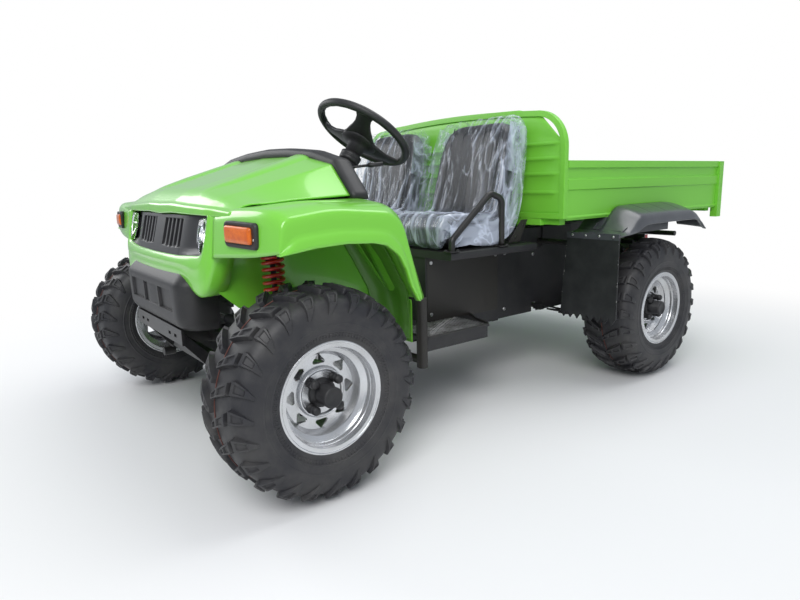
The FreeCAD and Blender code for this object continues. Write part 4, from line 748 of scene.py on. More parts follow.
# %% [markdown]
# ## Nose
# The green surround frames the grille from below and both sides and hangs down beside the
# bumper as two lobes. It leans back with the grille above its lower edge. The piece is a strip
# between two lines, the grille's opening and the outer edge, both drawn in front view; the
# depth then follows from where a point is, like paper laid on a form.

# %% Nose surround
def nose_d(x, z):
    """Depth of the nose: steep below the grille, leaning back above it, and rounding off sideways."""
    front = -np.interp(z, [560, 640, 690, 756, 822], [223, 222, 217, 199, 182])
    side = np.interp(np.abs(x), [0, 120, 231, 330, 400, 430, 450, 464], [0, 1.5, 5, 11, 18, 23, 29, 36])
    return front + side * np.interp(z, [690, 822], [1.0, 0.5])


def by_share(table, shares):
    """Line through (share, x, z) rows at the wanted shares, softened by a running mean."""
    table = np.asarray(table, float)
    line = np.stack([np.interp(shares, table[:, 0], table[:, k]) for k in (1, 2)], axis=-1)
    padded = np.concatenate([np.repeat(line[:1], 3, axis=0), line, np.repeat(line[-1:], 3, axis=0)])
    soft = sum(padded[k:k + len(line)] for k in range(7)) / 7
    soft[0], soft[-1] = line[0], line[-1]
    return soft


shares = np.linspace(0, 1, 72)
opening = by_share([(0, 0, 688), (0.34, 231, 690), (0.6, 398, 700), (0.66, 412, 714), (1, 424, 824)],
                   shares)
outer = by_share([(0, 0, 626), (0.34, 262, 626), (0.44, 306, 612), (0.54, 352, 582), (0.6, 382, 571),
                  (0.67, 424, 586), (0.74, 452, 626), (0.82, 464, 690), (1, 466, 828)], shares)
# Across the strip: share of the way outwards, and how far back from the nose's form
strip_rows = [(0.0, 16), (0.0, 5), (0.02, 1.5), (0.05, 0), (0.2, -1.5), (0.3, -3.5), (0.36, -1), (0.6, 0),
              (0.86, 0.5), (0.95, 3), (1.0, 9), (1.0, 30), (0.99, 66)]
strip = []
for share, back in strip_rows:
    line = opening * (1 - share) + outer * share
    strip.append(at(line[:, 0], nose_d(line[:, 0], line[:, 1]) + back, line[:, 1]))
strip = np.array(strip)
whole_strip = np.concatenate([strip[:, :0:-1] * (-1, 1, 1), strip], axis=1)
nose = piece_of("nose_surround", sheet_of(whole_strip), "chassis", lime_plastic, closed=False)
thickened(nose, 3)
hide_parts("nose_panel")
print("nose points", whole_strip.shape)

# %% [markdown]
# ## Grille
# One black moulding: four leaning slats on each side of a plain plate, in a frame whose sides
# scoop back to the lamps. It is a single relief: a fine grid in front view whose depth steps
# down between the slats, with grid lines placed in pairs at every step so the edges stay crisp.

# %% Grille relief
# Distances from the vehicle's middle: the slats' own middles, the ends of the plate and of the
# slats, and the start of the scoop towards the lamp
SLAT_MIDDLES, SLAT_HALF = [76.0 + 38.0 * k for k in range(4)], 8.0
PLATE_HALF, SLATS_END, SCOOP_START = 50, 222, 236
# Depths behind the nose's form
GAP_DEPTH, SLAT_DEPTH, PLATE_DEPTH = 26.0, 8.0, 5.0


def grille_relief():
    """Depth behind the nose for each point: deep in the gaps, less on the slats, least on the
    plate and the frame, and a scoop of up to 20 towards each lamp."""
    steps = [0, PLATE_HALF, SLATS_END]
    for middle in SLAT_MIDDLES:
        steps += [middle - SLAT_HALF, middle + SLAT_HALF]
    lines = {round(step + edge, 2) for step in steps for edge in (-1.2, 1.2)}
    lines = sorted(lines | {0.0, 20, 35, SCOOP_START, 250, 270, 290, 310, 330, 350, 370, 390, 408})
    x = np.array([-v for v in lines[::-1] if v > 0] + [v for v in lines if v >= 0])
    z = np.array([689.5, 696, 704, 710, 714, 716.5, 722, 740, 756, 772, 788, 800, 806, 808.5, 812, 821])
    x, z = np.meshgrid(x, z, indexing="ij")
    side = np.abs(x)
    gap = np.ones_like(x) * GAP_DEPTH
    for middle in SLAT_MIDDLES:
        gap = np.where(np.abs(side - middle) < SLAT_HALF, SLAT_DEPTH, gap)
    gap = np.where(side < PLATE_HALF, PLATE_DEPTH, gap)
    low_edge = 715 + np.interp(side, [0, 60, 100, SLATS_END], [-3, 6, 0, 3])
    framed = (z < low_edge) | (z > 807) | (side > SLATS_END)
    inwards = np.sin(np.clip((side - SCOOP_START) / 130, 0, 1) * np.pi / 2) ** 2
    scoop = 6 + 20 * inwards * np.clip((z - 696) / 26, 0, 1)
    back = np.where(framed, np.where(side > SLATS_END, scoop, PLATE_DEPTH), gap)
    # The moulding ends where the opening does: rounded below, leaning outwards at the sides
    edge = np.interp(z, [689, 694, 700, 712, 822], [372, 396, 406, 411, 423])
    x = np.where(side > 400, np.sign(x) * edge, np.where(side > 385, np.sign(x) * (edge - 14), x))
    drop = np.interp(np.abs(x), [0, 231, 340, 400, 424], [0, 1.5, 5, 10, 16]) * (z < 700)
    return at(x, nose_d(x, z) + back, z + drop)


grille = piece_of("grille_relief", sheet_of(grille_relief()), "chassis", satin_plastic,
                  closed=False)
thickened(grille, 2.5, inwards=False)
softened(grille, 0.9, 2, 35)
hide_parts("grille")
print("grille faces", len(grille.data.polygons))

# %% [markdown]
# ## Headlights and turn signals
# A lamp is a polished bowl under a clear cover. The cover's outline is a teardrop that follows
# the corner of the grille; its rings shrink towards a slightly domed middle. The signal is a
# black bezel that turns with the fender's front and an amber lens that stands out of it.

# %% Lamps at the ends of the grille
teardrop = rounded_line([(356, 812, 12), (419, 818, 12), (415, 760, 60), (398, 705, 9), (376, 714, 18),
                         (348, 764, 60)], 6, 5, closed=True)


def domed(outline, shrink, rise):
    """Rings of an outline, each drawn towards its middle by a share and set forward by a rise."""
    middle = outline.mean(axis=0)
    rings = []
    for share, forward in zip(shrink, rise):
        line = middle + (outline - middle) * share
        rings.append(at(line[:, 0], nose_d(line[:, 0], line[:, 1]) + 4 - forward, line[:, 1]))
    return np.array(rings)


cover = tube_of(domed(teardrop, (1.0, 1.0, 0.96, 0.86, 0.6, 0.3, 0.06), (-9, -2, 1, 3, 5, 6, 6.4)))
bowl = tube_of(domed(teardrop, (1.0, 0.985, 0.8, 0.62, 0.36, 0.3, 0.1),
                     (-10, -9.5, -20, -26, -30, -24, -21)))
lens = piece_of("lamp_covers", pair_of(cover), "chassis", clear_lens)
piece_of("lamp_reflectors", pair_of(bowl), "chassis", reflector_chrome)
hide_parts("headlights")
bulb_x, bulb_z = 388, 772
bulb_root = at(bulb_x, nose_d(bulb_x, bulb_z) + 26, bulb_z)
bulb = turned(bulb_root, (0, -1, 0), [(0, 9), (8, 9), (12, 6), (14, 0.5)], 20)
piece_of("lamp_bulbs", pair_of(bulb), "chassis", reflector_chrome)


# %% [markdown]
# Bezel and lens are drawn flat, as height against distance along the fender's front, and then
# laid on that face, which turns back as it runs outwards. Stacked rings give both their round
# edges.

# %% Turn signals
def on_fender_front(s, z, out):
    """Point on the fender's front face: s runs outwards from its inner edge, turning back 22 in 155."""
    s, z, out = np.broadcast_arrays(np.asarray(s, float), z, out)
    return at(572 + s * 0.985 - out * 0.14, -174 + s * 0.142 - out * 0.99, z - 3)


def block_rings(outline, levels):
    """Rings of an outline in the face's plane, each with its own shrink in mm and distance out."""
    middle = outline.mean(axis=0)
    rings = []
    for shrink, out in levels:
        span = np.abs(outline - middle)
        line = middle + np.sign(outline - middle) * np.maximum(span - shrink, 0.2)
        rings.append(on_fender_front(line[:, 0], line[:, 1], out))
    return np.array(rings)


bezel_line = rounded_line([(0, 746, 14), (158, 742, 14), (158, 814, 14), (0, 818, 14)], 6, 3, closed=True)
lens_line = rounded_line([(10, 759, 8), (138, 756, 8), (138, 802, 8), (10, 806, 8)], 6, 3, closed=True)
bezel_rings = block_rings(bezel_line, [(0, -6), (0, 6), (1.5, 9), (5, 10), (8, 8)])
piece_of("signal_bezels", pair_of(tube_of(bezel_rings)), "chassis", black_plastic)
lens_rings = block_rings(lens_line, [(0, 4), (0, 12), (1.5, 14.5), (4, 16), (12, 17)])
signal = piece_of("signal_lenses", pair_of(tube_of(lens_rings)), "chassis", amber_lens)
screw_profile = [(-2, 3.4), (0.8, 3.4), (1.6, 2.2), (1.8, 0.3)]
screw = turned(on_fender_front(149, 770, 9.5), (0.14, -0.99, 0), screw_profile, 14)
piece_of("signal_screws", pair_of(screw), "chassis", zinc_steel)
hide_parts("turn_signals")
print("lamps", len(lens.data.polygons), "signals", len(signal.data.polygons))

# %% [markdown]
# ## Front bumper
# A thick moulding bolted low between the lobes. Its flat face carries a framed recess with two
# upright ribs, its upper and side edges are broad chamfers, and its ends sweep back. The plan
# line is swept through the levels of a table that tells how far each level is drawn in.

# %% Bumper
# Plan line of one end, x and d, then the columns across the flat face between the ends
BUMPER_FACE, RECESS_DEPTH = -243.5, 9.0
bumper_plan = [(-318, -120), (-318, -150), (-317, -180), (-314, -198), (-307, -214), (-297, -227),
               (-286, -236), (-275, -241)]
rib_edges = {edge + step for edge in (-242, -236, -92, -80, 80, 92, 236, 242) for step in (-1.0, 1.0)}
bumper_columns = sorted(rib_edges | {-262.0, 262.0, -160.0, 0.0, 160.0})
other_end = [(-x, d) for x, d in bumper_plan[::-1]]
plan_line = np.array(bumper_plan + [(x, BUMPER_FACE) for x in bumper_columns] + other_end, float)
# Height, how far in and how far back that level is drawn
bumper_levels = [(637, 27, 36), (635, 22, 30), (629, 16.5, 22.5), (620, 10, 14), (611, 4.5, 6.5),
                 (603, 1.2, 1.8), (596, 0, 0), (583, 0, 0), (581, 0, 0), (576, 0, 0), (514, 0, 0),
                 (509, 0, 0), (507, 0, 0), (494, 0, 0), (484, 1, 1), (474, 3, 4), (463, 8, 11),
                 (453, 15, 21), (448, 24, 34)]
bumper_rings = []
for z, inset, back in bumper_levels:
    x, d = plan_line.T.copy()
    wide = np.abs(x)
    face = wide < 250
    inside = face & (wide < 238) & (wide > 0)
    recess = np.where(inside & (507.5 < z) & (z < 582) & ~((wide > 80) & (wide < 92)), RECESS_DEPTH, 0.0)
    recess = recess + np.where((np.abs(wide - 246) < 2.5) & (498 < z) & (z < 592), 1.5, 0.0)
    x = x * (1 - inset / 330) * (1 + (z - 452) / 150 * -0.035 * face)
    bumper_rings.append(at(x, d + back * (d < -150) + recess - (602 - z) / 150 * -4 * (d < -200), z))
bumper_rings = np.array(bumper_rings)
bumper = piece_of("bumper_moulding", sheet_of(bumper_rings), "chassis", black_plastic,
                  closed=False)
thickened(bumper, 3.5)
softened(bumper, 1.6, 2, 35)
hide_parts("front_bumper")
# The recessed face is a second skin, 1.2 mm before the rows of the moulding's flat part
across = (np.abs(plan_line[:, 0]) < 270) & (plan_line[:, 1] < -243)
face_rows = bumper_rings[6:14][:, across] - (0, 0.0012, 0)
bumper_face = piece_of("bumper_face", sheet_of(face_rows), "chassis", bumper_plastic,
                       closed=False)
thickened(bumper_face, 1.1)
softened(bumper_face, 1.2, 2, 28)
print("bumper faces", len(bumper.data.polygons))

# %% [markdown]
# ## Seats
# Two bucket seats, each a foam cushion and a backrest under one vinyl cover. A pad starts as a
# superellipse in two directions, the power of a sine and a cosine, whose high exponent keeps
# the sides flat and the corners full. It is then blown up a little as cloth, which crowns the
# faces and pulls the sides in as sewn foam does. The sewn channels are laid on afterwards.

# %% Seat pads
# Middle of the left seat, half its width, and the number of frames that the cloth runs for
SEAT_X, SEAT_HALF, CLOTH_FRAMES = 300.0, 222.0, 20


def power(values, exponent):
    """Signed power: keeps the sign and raises the size, which squares off a circle."""
    return np.sign(values) * np.abs(values) ** exponent


def padded_block(half, square=0.28, rings=44, sides=64):
    """Rounded block: each ring at height sin(v) is a squared circle of radius cos(v)."""
    v = np.linspace(-np.pi / 2, np.pi / 2, rings)[:, None]
    u = np.linspace(0, 2 * np.pi, sides, endpoint=False)[None, :]
    x = half[0] * power(np.cos(v), square * 1.3) * power(np.cos(u), square)
    y = half[1] * power(np.cos(v), square * 1.3) * power(np.sin(u), square)
    z = half[2] * power(np.sin(v), square * 1.6) + 0 * u
    return np.stack([x, y, z], axis=-1)


def cushion_form(x, y, z):
    """Bend of the cushion: up at both sides, down along the middle and at the front edge."""
    sides, middle = 14 * np.abs(x / SEAT_HALF) ** 3, 7 * np.exp(-(x / 90) ** 2)
    front = 9 * np.clip((-y - 120) / 80, 0, 1) ** 2
    return SEAT_X + x, 872 + y, 704 + z + (z > 0) * (sides - middle - front) - 0.045 * y


def back_form(x, y, z):
    """Bend of the backrest: narrower at the top, hollow between its bolsters, leaning back."""
    rise = (z + 236) / 472
    narrow = 1 - 0.17 * np.clip(rise - 0.3, 0, 1) ** 1.2
    front = 8 * np.exp(-(x / 110) ** 2) - 20 * np.abs(x / SEAT_HALF) ** 3 * (1 - 0.5 * rise)
    lean = 95 * rise - 8 * np.sin(np.pi * rise)
    return SEAT_X + x * narrow, 1028 + y + (y < 0) * front + lean, 930 + z * 0.96


# %% [markdown]
# Foam under a tight cover swells between its seams. The pad is remeshed into even quads and
# blown up as cloth, and every point is kept near its start, so the seat keeps its measured size.

# %% Swollen pads
def swollen(surface, name, most=9.0):
    """Cloth recipe for a pad: remesh, blow up with gravity off, and keep each point within the
    given millimetres of its start."""
    mesh = bpy.data.meshes.new(name)
    mesh.from_pydata(surface[0].tolist(), [], surface[1])
    pad = bpy.data.objects.new(name, mesh)
    bpy.context.scene.collection.objects.link(pad)
    remesh = pad.modifiers.new("voxels", "REMESH")
    remesh.mode, remesh.voxel_size = "VOXEL", 9 * MM
    pad.data = bpy.data.meshes.new_from_object(pad.evaluated_get(bpy.context.evaluated_depsgraph_get()))
    pad.modifiers.clear()
    start = np.array([v.co for v in pad.data.vertices])
    cloth = pad.modifiers.new("cloth", "CLOTH")
    cloth.settings.use_pressure, cloth.settings.uniform_pressure_force = True, 4.0
    cloth.settings.effector_weights.gravity = 0
    cloth.settings.quality = 4
    cloth.point_cache.frame_end = CLOTH_FRAMES
    for number in range(1, CLOTH_FRAMES + 1):
        bpy.context.scene.frame_set(number)
    swelled = bpy.data.meshes.new_from_object(pad.evaluated_get(bpy.context.evaluated_depsgraph_get()))
    moved = np.array([v.co for v in swelled.vertices]) - start
    length = np.linalg.norm(moved, axis=1)[:, None].clip(1e-9)
    places = start + moved * np.minimum(1, most * MM / length)
    faces = [list(face.vertices) for face in swelled.polygons]
    bpy.context.scene.frame_set(1)
    bpy.data.objects.remove(pad)
    print(name, "points", len(places), "largest move mm", round(1000 * length.max(), 1))
    return places, faces


# %% [markdown]
# A seat is its cushion and its backrest in one object. The right seat mirrors the left one.

# %% The two seats
pads = {"cushion": (padded_block((SEAT_HALF - 5, 200, 54)), cushion_form),
        "back": (padded_block((SEAT_HALF - 5, 42, 232), 0.3), back_form)}
shapes = []
for name, (block, form) in pads.items():
    surface = tube_of(at(*form(*np.moveaxis(block, -1, 0))))
    shapes.append(swollen(surface, "pad_" + name))
seat_shape = joined(shapes)
for side, shape in (("left", seat_shape), ("right", other_side(seat_shape))):
    piece_of("padded_seat_" + side, shape, "chassis", seat_vinyl)
    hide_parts("seat_" + side)
print("seat top", round(seat_shape[0][:, 2].max(), 4), "faces", len(seat_shape[1]))


# %% [markdown]
# A sewn channel shows as a thin welt. Five of them run up each pad: a line in shares of the
# pad's size goes through the same bend as the pad, so it lies on the vinyl wherever that goes.

# %% Sewn channels and piping
WELT_RADIUS = 2.2


def on_pad(form, half, x, y, z):
    """Places on a pad's face for the given shares of its half sizes."""
    return at(*form(np.asarray(x, float) * half[0], np.asarray(y, float) * half[1],
                    np.asarray(z, float) * half[2]))


welts = []
line = np.linspace(-0.86, 0.9, 30)
for x in (-0.62, -0.31, 0.0, 0.31, 0.62):
    depth = -1.09 + 0.12 * np.abs(line) ** 8
    welts.append(round_bar(on_pad(back_form, (SEAT_HALF, 46, 236), x + 0 * line, depth, line),
                           WELT_RADIUS * MM, 8))
    share = line * 0.95
    height = 1.07 - 0.1 * np.abs(share) ** 8
    welts.append(round_bar(on_pad(cushion_form, (SEAT_HALF, 205, 58), x + 0 * line, share, height),
                           WELT_RADIUS * MM, 8))
piece_of("seat_welts", pair_of(joined(welts)), "chassis", seat_vinyl)
print("welts", len(welts))

# %% [markdown]
# ## Film
# The seats are still in their delivery film, a thin clear bag that touches them only here and
# there. Its form is a path over the cushion and up the backrest, carried across the seat and
# turned down at the sides. The creases are ridged waves, one minus the size of a sine, raised
# to a power, so that each one has a sharp back and wide hollows, as stiff film has. Where a
# crease is sharp the film is folded on itself and is made more opaque, which also paints a
# highlight along the fold. The height of the crease, with a painted sheen over the cushion and
# down the sides, is kept as an attribute, and the finish reads its opacity from it.

# %% Film finish
film = bpy.data.materials.new("clear_delivery_film")
film.use_nodes = True
film_nodes, film_links = film.node_tree.nodes, film.node_tree.links
film_gloss = film_nodes["Principled BSDF"]
# Pale blue-grey film: where it is made more opaque this colour shows as painted highlights and sheen
film_gloss.inputs["Base Color"].default_value = (0.64, 0.7, 0.84, 1)
film_gloss.inputs["Roughness"].default_value = 0.14
film_gloss.inputs["Coat Weight"].default_value = 1.0
film_gloss.inputs["Coat Roughness"].default_value = 0.05
film_place, film_noise = film_nodes.new("ShaderNodeTexCoord"), film_nodes.new("ShaderNodeTexNoise")
film_stretch = film_nodes.new("ShaderNodeMapping")
film_stretch.inputs["Scale"].default_value = (1.7, 0.4, 0.3)
film_stretch.inputs["Rotation"].default_value = (0.1, 0.22, 0.15)
film_noise.inputs["Scale"].default_value = 10
film_noise.inputs["Detail"].default_value = 3
film_noise.inputs["Distortion"].default_value = 0.5
film_links.new(film_place.outputs["Object"], film_stretch.inputs["Vector"])
film_links.new(film_stretch.outputs["Vector"], film_noise.inputs["Vector"])
# A crease is where the noise crosses its middle value; there the film gets a bump and more opacity, which
# paints a bright streak along it
off_middle, size, streak_and_sheen_alpha = (film_nodes.new("ShaderNodeMath") for _ in range(3))
off_middle.operation, size.operation = "SUBTRACT", "ABSOLUTE"
off_middle.inputs[1].default_value = 0.5
film_links.new(film_noise.outputs["Fac"], off_middle.inputs[0])
film_links.new(off_middle.outputs["Value"], size.inputs[0])
narrow = film_nodes.new("ShaderNodeMapRange")
narrow.inputs["From Min"].default_value, narrow.inputs["From Max"].default_value = 0.0, 0.022
narrow.inputs["To Min"].default_value, narrow.inputs["To Max"].default_value = 0.3, 0.0
film_links.new(size.outputs["Value"], narrow.inputs["Value"])
# The attribute holds each crease's height plus a painted sheen; the higher it is, the more opaque the film,
# which paints highlights on folds and sheen on the cushion and sides
crease_and_sheen_level = film_nodes.new("ShaderNodeAttribute")
crease_and_sheen_level.attribute_name = "crease"
fold_and_sheen_opacity = film_nodes.new("ShaderNodeMapRange")
fold_and_sheen_opacity.inputs["From Min"].default_value, fold_and_sheen_opacity.inputs["From Max"].default_value = 0.2, 1.3
fold_and_sheen_opacity.inputs["To Min"].default_value, fold_and_sheen_opacity.inputs["To Max"].default_value = 0.03, 0.56
film_links.new(crease_and_sheen_level.outputs["Fac"], fold_and_sheen_opacity.inputs["Value"])
streak_and_sheen_alpha.operation = "ADD"
film_links.new(fold_and_sheen_opacity.outputs["Result"], streak_and_sheen_alpha.inputs[0])
film_links.new(narrow.outputs["Result"], streak_and_sheen_alpha.inputs[1])
film_links.new(streak_and_sheen_alpha.outputs["Value"], film_gloss.inputs["Alpha"])
film_bump = film_nodes.new("ShaderNodeBump")
film_bump.inputs["Strength"].default_value = 0.5
film_bump.inputs["Distance"].default_value = 0.004
film_links.new(narrow.outputs["Result"], film_bump.inputs["Height"])
film_links.new(film_bump.outputs["Normal"], film_gloss.inputs["Normal"])
print("film nodes", len(film_nodes))


# %% [markdown]
# Each wave is drawn from a seeded generator, so the creases differ from seat to seat and stay
# the same from run to run. The sheet's flat size is its running length along the path and its
# width with both hanging sides.

# %% Film over the seats
# Bounds that keep the film before the headboard and over the seat box
FILM_REAR, FILM_LOW = 1187, 650


def ridges(u, v, seed, count=12):
    """Sum of ridged waves in different directions, most of them along the path. Each is bent by
    slower waves and fades in and out over the sheet, so that no crease runs on for ever."""
    chance = np.random.default_rng(seed)
    total = 0 * u
    for k in range(count):
        turn = np.pi / 2 + chance.normal(0, 0.22) + (k % 6 == 0) * chance.uniform(-1, 1)
        pitch = chance.uniform(34, 110)
        across = (np.cos(turn) * u + np.sin(turn) * v) / pitch
        along = (-np.sin(turn) * u + np.cos(turn) * v) / 230
        warp = 0.5 * np.sin(along * 2.3 + chance.uniform(0, 6))
        warp = warp + 0.3 * np.sin(along * 5.1 + across + chance.uniform(0, 6))
        fade = np.clip(np.sin(along * 1.9 + chance.uniform(0, 6)) + 0.2, 0, 1)
        fade = fade * np.clip(np.sin(across * 0.8 + chance.uniform(0, 6)) + 0.4, 0, 1)
        total = total + fade * (1 - np.abs(np.sin(np.pi * across + warp))) ** 2.8 * pitch / 100
    return total


# Path over the seat: distance behind the axle, height, reach to each side, corner radius
FILM_PATH = [(692, 655, 196, 0), (664, 676, 212, 24), (656, 735, 226, 24), (684, 779, 231, 24),
             (800, 778, 232, 24), (930, 770, 232, 24), (966, 784, 232, 20), (981, 838, 233, 24),
             (1010, 970, 226, 40), (1034, 1058, 214, 40), (1056, 1122, 200, 24), (1088, 1160, 190, 18),
             (1142, 1158, 190, 18), (1171, 1122, 198, 20), (1140, 1020, 214, 40), (1112, 920, 226, 0)]


def seat_film(seed):
    """Rows follow the path, columns cross it; the outer columns turn down over the sides."""
    table = np.array(FILM_PATH, float)
    line = resampled(rounded_line(table[:, (0, 1, 3)], 6, 8), 260)
    length = np.concatenate([[0], np.cumsum(np.hypot(*np.diff(line, axis=0).T))])
    nearest = np.argmin(np.hypot(line[:, None, 0] - table[None, :, 0],
                                 line[:, None, 1] - table[None, :, 1]), axis=0)
    reach = np.interp(length, length[nearest], table[:, 2])
    slope = np.gradient(line, axis=0)
    slope /= np.linalg.norm(slope, axis=1)[:, None]
    outward = np.stack([-slope[:, 1], slope[:, 0]], axis=-1)
    # Across: a share of the width up to 1, then down the side
    side_share = [0.955, 0.98, 1.0, 1.012] + [1.02] * 7 + [1.025, 1.03]
    side_down = [1, 4, 9, 16, 26, 38, 50, 63, 76, 89, 102, 118, 134.0]
    share = np.concatenate([np.linspace(0, 0.93, 56), side_share])
    down = np.concatenate([np.zeros(56), side_down])
    share = np.concatenate([-share[:0:-1], share])
    down = np.concatenate([down[:0:-1], down])
    x = reach[:, None] * share[None, :]
    u, v = length[:, None] + 0 * x, x + np.sign(x) * down[None, :]
    crease = ridges(u, v, seed) + 0.24 * ridges(u * 2.4, v * 2.4, seed + 50)
    lift = 2.0 + 6.5 * crease
    sunk = down[None, :] * 0.9
    d = line[:, 0][:, None] + outward[:, 0][:, None] * (lift - sunk)
    z = line[:, 1][:, None] + outward[:, 1][:, None] * (lift - sunk)
    x = x + np.sign(x) * crease * np.clip(down / 30, 0, 1) * 6
    # Over the cushion and down the sides the film is made more opaque: painted sheen of light on the
    # cushion's top and on the sides
    painted_sheen = 0.42 * np.interp(line[:, 0], [900, 985], [1, 0])[:, None] + 0.22 * np.clip(down / 24, 0, 1)
    grid = at(SEAT_X + x, np.minimum(d, FILM_REAR), np.maximum(z, FILM_LOW))
    return grid, crease + painted_sheen, length[-1], 2 * (reach.mean() + down.max())


for side, seed in (("left", 4), ("right", 11)):
    grid, crease, long, wide = seat_film(seed)
    surface = sheet_of(grid)
    cover_film = piece_of("delivery_film_" + side, surface if side == "left" else other_side(surface),
                          "chassis", film, closed=False)
    height = cover_film.data.attributes.new("crease", "FLOAT", "POINT")
    height.data.foreach_set("value", np.ravel(crease).astype(np.float32))
print("film length and width in mm", round(long), round(wide), "sharpest crease", round(crease.max(), 2))

# %% [markdown]
# ## Hip bars and deck
# A bent tube beside each seat, its feet bolted to the deck. Tubes follow a rounded path, so
# every bend keeps its radius.

# %% Hip bars
# The bar's plane, the places of its feet and the top of the deck
BAR_X, BAR_FEET, DECK_TOP = 545, (704, 974), 650
bar_path = rounded_line([(BAR_X, BAR_FEET[0], 646, 0), (BAR_X, BAR_FEET[0], 690, 26), (BAR_X, 908, 858, 30),
                         (BAR_X, BAR_FEET[1], 836, 30), (BAR_X, BAR_FEET[1], 646, 0)], 8, 5)
bar = round_bar(at(*bar_path.T), 12.5 * MM, 18)
hip = piece_of("hip_bars_bent", pair_of(bar), "chassis", chassis_paint)
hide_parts("hip_bars")
feet = [slab((BAR_X - 20, BAR_X + 20), (d - 26, d + 26), (DECK_TOP - 5, DECK_TOP)) for d in BAR_FEET]
softened(piece_of("hip_bar_feet", pair_of(joined(feet)), "chassis", chassis_paint,
                  smooth=False), 1)
foot_bolts = [turned(at(BAR_X + x, d + y, DECK_TOP), (0, 0, 1), [(0, 7), (4, 7), (5, 6), (5, 0.5)], 6)
              for d in BAR_FEET for x, y in ((-12, -17), (12, 17))]
piece_of("hip_bar_bolts", pair_of(joined(foot_bolts)), "chassis", chassis_paint,
         smooth=False)
print("hip bar points", len(bar[0]))

# %% [markdown]
# ## Cargo bed
# The bed is folded from sheet steel: a headboard with a rolled rim and four pressed ribs, two
# sides with a proud rail on top, and a tailgate between square posts. Folded sheet reads
# through its edges, so every fold is a real corner that a bevel then rounds by a few millimetres.

# %% Bed sides
# Half width of the bed, and its two ends behind the axle
bed_x = 680.0
BED_FRONT, BED_REAR = 1191.0, 2532.5
side_line = [(bed_x - 24, 745), (bed_x - 2, 745), (bed_x - 2, 751), (bed_x - 6, 756), (bed_x - 6, 858),
             (bed_x, 862), (bed_x, 902), (bed_x - 7, 906), (bed_x - 7, 947), (bed_x + 2, 949),
             (bed_x + 2, 978), (bed_x - 30, 978), (bed_x - 30, 952), (bed_x - 24, 948)]
for side in ("left", "right"):
    wall = pushed("y", (BED_FRONT + 26, BED_REAR - 42), side_line)
    post = slab((bed_x - 28, bed_x + 9), (BED_REAR - 42, BED_REAR - 0.5), (688, 977))
    hem = slab((bed_x - 8, bed_x - 5.5), (BED_FRONT + 26, BED_REAR - 42), (738, 757))
    shape = joined([wall, post, hem])
    wall = piece_of("bed_wall_" + side, shape if side == "left" else other_side(shape), "bed", lime_paint,
                    smooth=False)
    softened(wall, 2.0, 3, 25)
    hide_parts("bed_side_" + side)
print("bed wall faces", len(shape[1]))


# %% [markdown]
# The headboard's rim is a channel bent round three sides. One outline is drawn at six depths
# and insets, which are the corners of the channel. The sheet in it is a grid whose rows lie
# closer at every fold of the ribs.

# %% Headboard
def headboard_outline(inset, corner, top=1183.0, crown=22.0, base=745.0, count=16):
    """Right half of the outline from the foot up, round the corner and along the crowned top."""
    half = bed_x - inset
    low = [(half, base), (half, base + 20)]
    turn = np.linspace(0, np.pi / 2, count)
    middle = (half - corner, top - inset - corner)
    arc = [(middle[0] + corner * math.cos(t), middle[1] + corner * math.sin(t)) for t in turn]
    top_line = [(x, top - inset + crown * (1 - (x / (half - corner)) ** 2))
                for x in np.linspace(half - corner, 0, 14)[1:]]
    return np.array(low + arc + top_line)


def rim_sweep():
    """The rolled rim: the outline at four depths of a channel that faces the bed."""
    rings = []
    for inset, d in ((0, 1191), (0, 1215), (3, 1215), (3, 1195), (24, 1195), (24, 1191)):
        line = headboard_outline(inset, 150 - inset)
        whole = np.concatenate([line, line[-2::-1] * (-1, 1)])
        rings.append(at(whole[:, 0], d, whole[:, 1]))
    rings = np.swapaxes(np.array(rings), 0, 1)
    return tube_of(rings)


RIBS = (852.0, 927.0, 989.0, 1048.0)


def pressed_sheet():
    """Front sheet: rows at every fold of the four ribs, columns across; a rib stands out 7 mm
    and dies away at both ends, and the upper corners are cut off straight."""
    folds = [rib + step for rib in RIBS for step in (-9, -7, -3, 3, 7, 9)]
    z = sorted([747, 780, 820, 1090, 1120, 1150] + folds)
    x = np.concatenate([-np.linspace(0, 660, 45)[:0:-1], np.linspace(0, 660, 45)])
    x, z = np.meshgrid(x, np.array(z, float), indexing="ij")
    rise = np.zeros_like(x)
    for rib in RIBS:
        rise = np.maximum(rise, np.interp(np.abs(z - rib), [3, 7, 9], [6.5, 1.5, 0]))
    rise = rise * np.clip((640 - np.abs(x)) / 14, 0, 1)
    top = 1181 + 22 * (1 - (np.abs(x) / 660).clip(0, 1) ** 2)
    limit = np.interp(np.abs(x), [0, 550, 622, 660], [1300, 1166, 1094, 1056])
    z = np.where(z > 1080, 1060 + (z - 1060) * (np.minimum(top, limit) - 1060) / 90, z)
    return at(x, 1199 - rise, z)


rim = piece_of("headboard_rim", rim_sweep(), "bed", lime_paint)
softened(rim, 1.5, 2, 30)
sheet = piece_of("headboard_sheet", sheet_of(pressed_sheet()), "bed", lime_paint, closed=False)
thickened(sheet, 2)
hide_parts("headboard")
foot = joined([slab((-bed_x + 3, bed_x - 3), (1193, 1214), (745, 768)),
               slab((-560, 560), (1196, 1222), (716, 748))])
softened(piece_of("headboard_foot", foot, "bed", lime_paint, smooth=False), 2, 2)
print("headboard sheet faces", len(sheet.data.polygons))

# %% [markdown]
# The tailgate hangs on three rolled hinges along its foot. Its face is a plain pan with a
# stiffened edge and four uprights, which are slabs set on the pan.

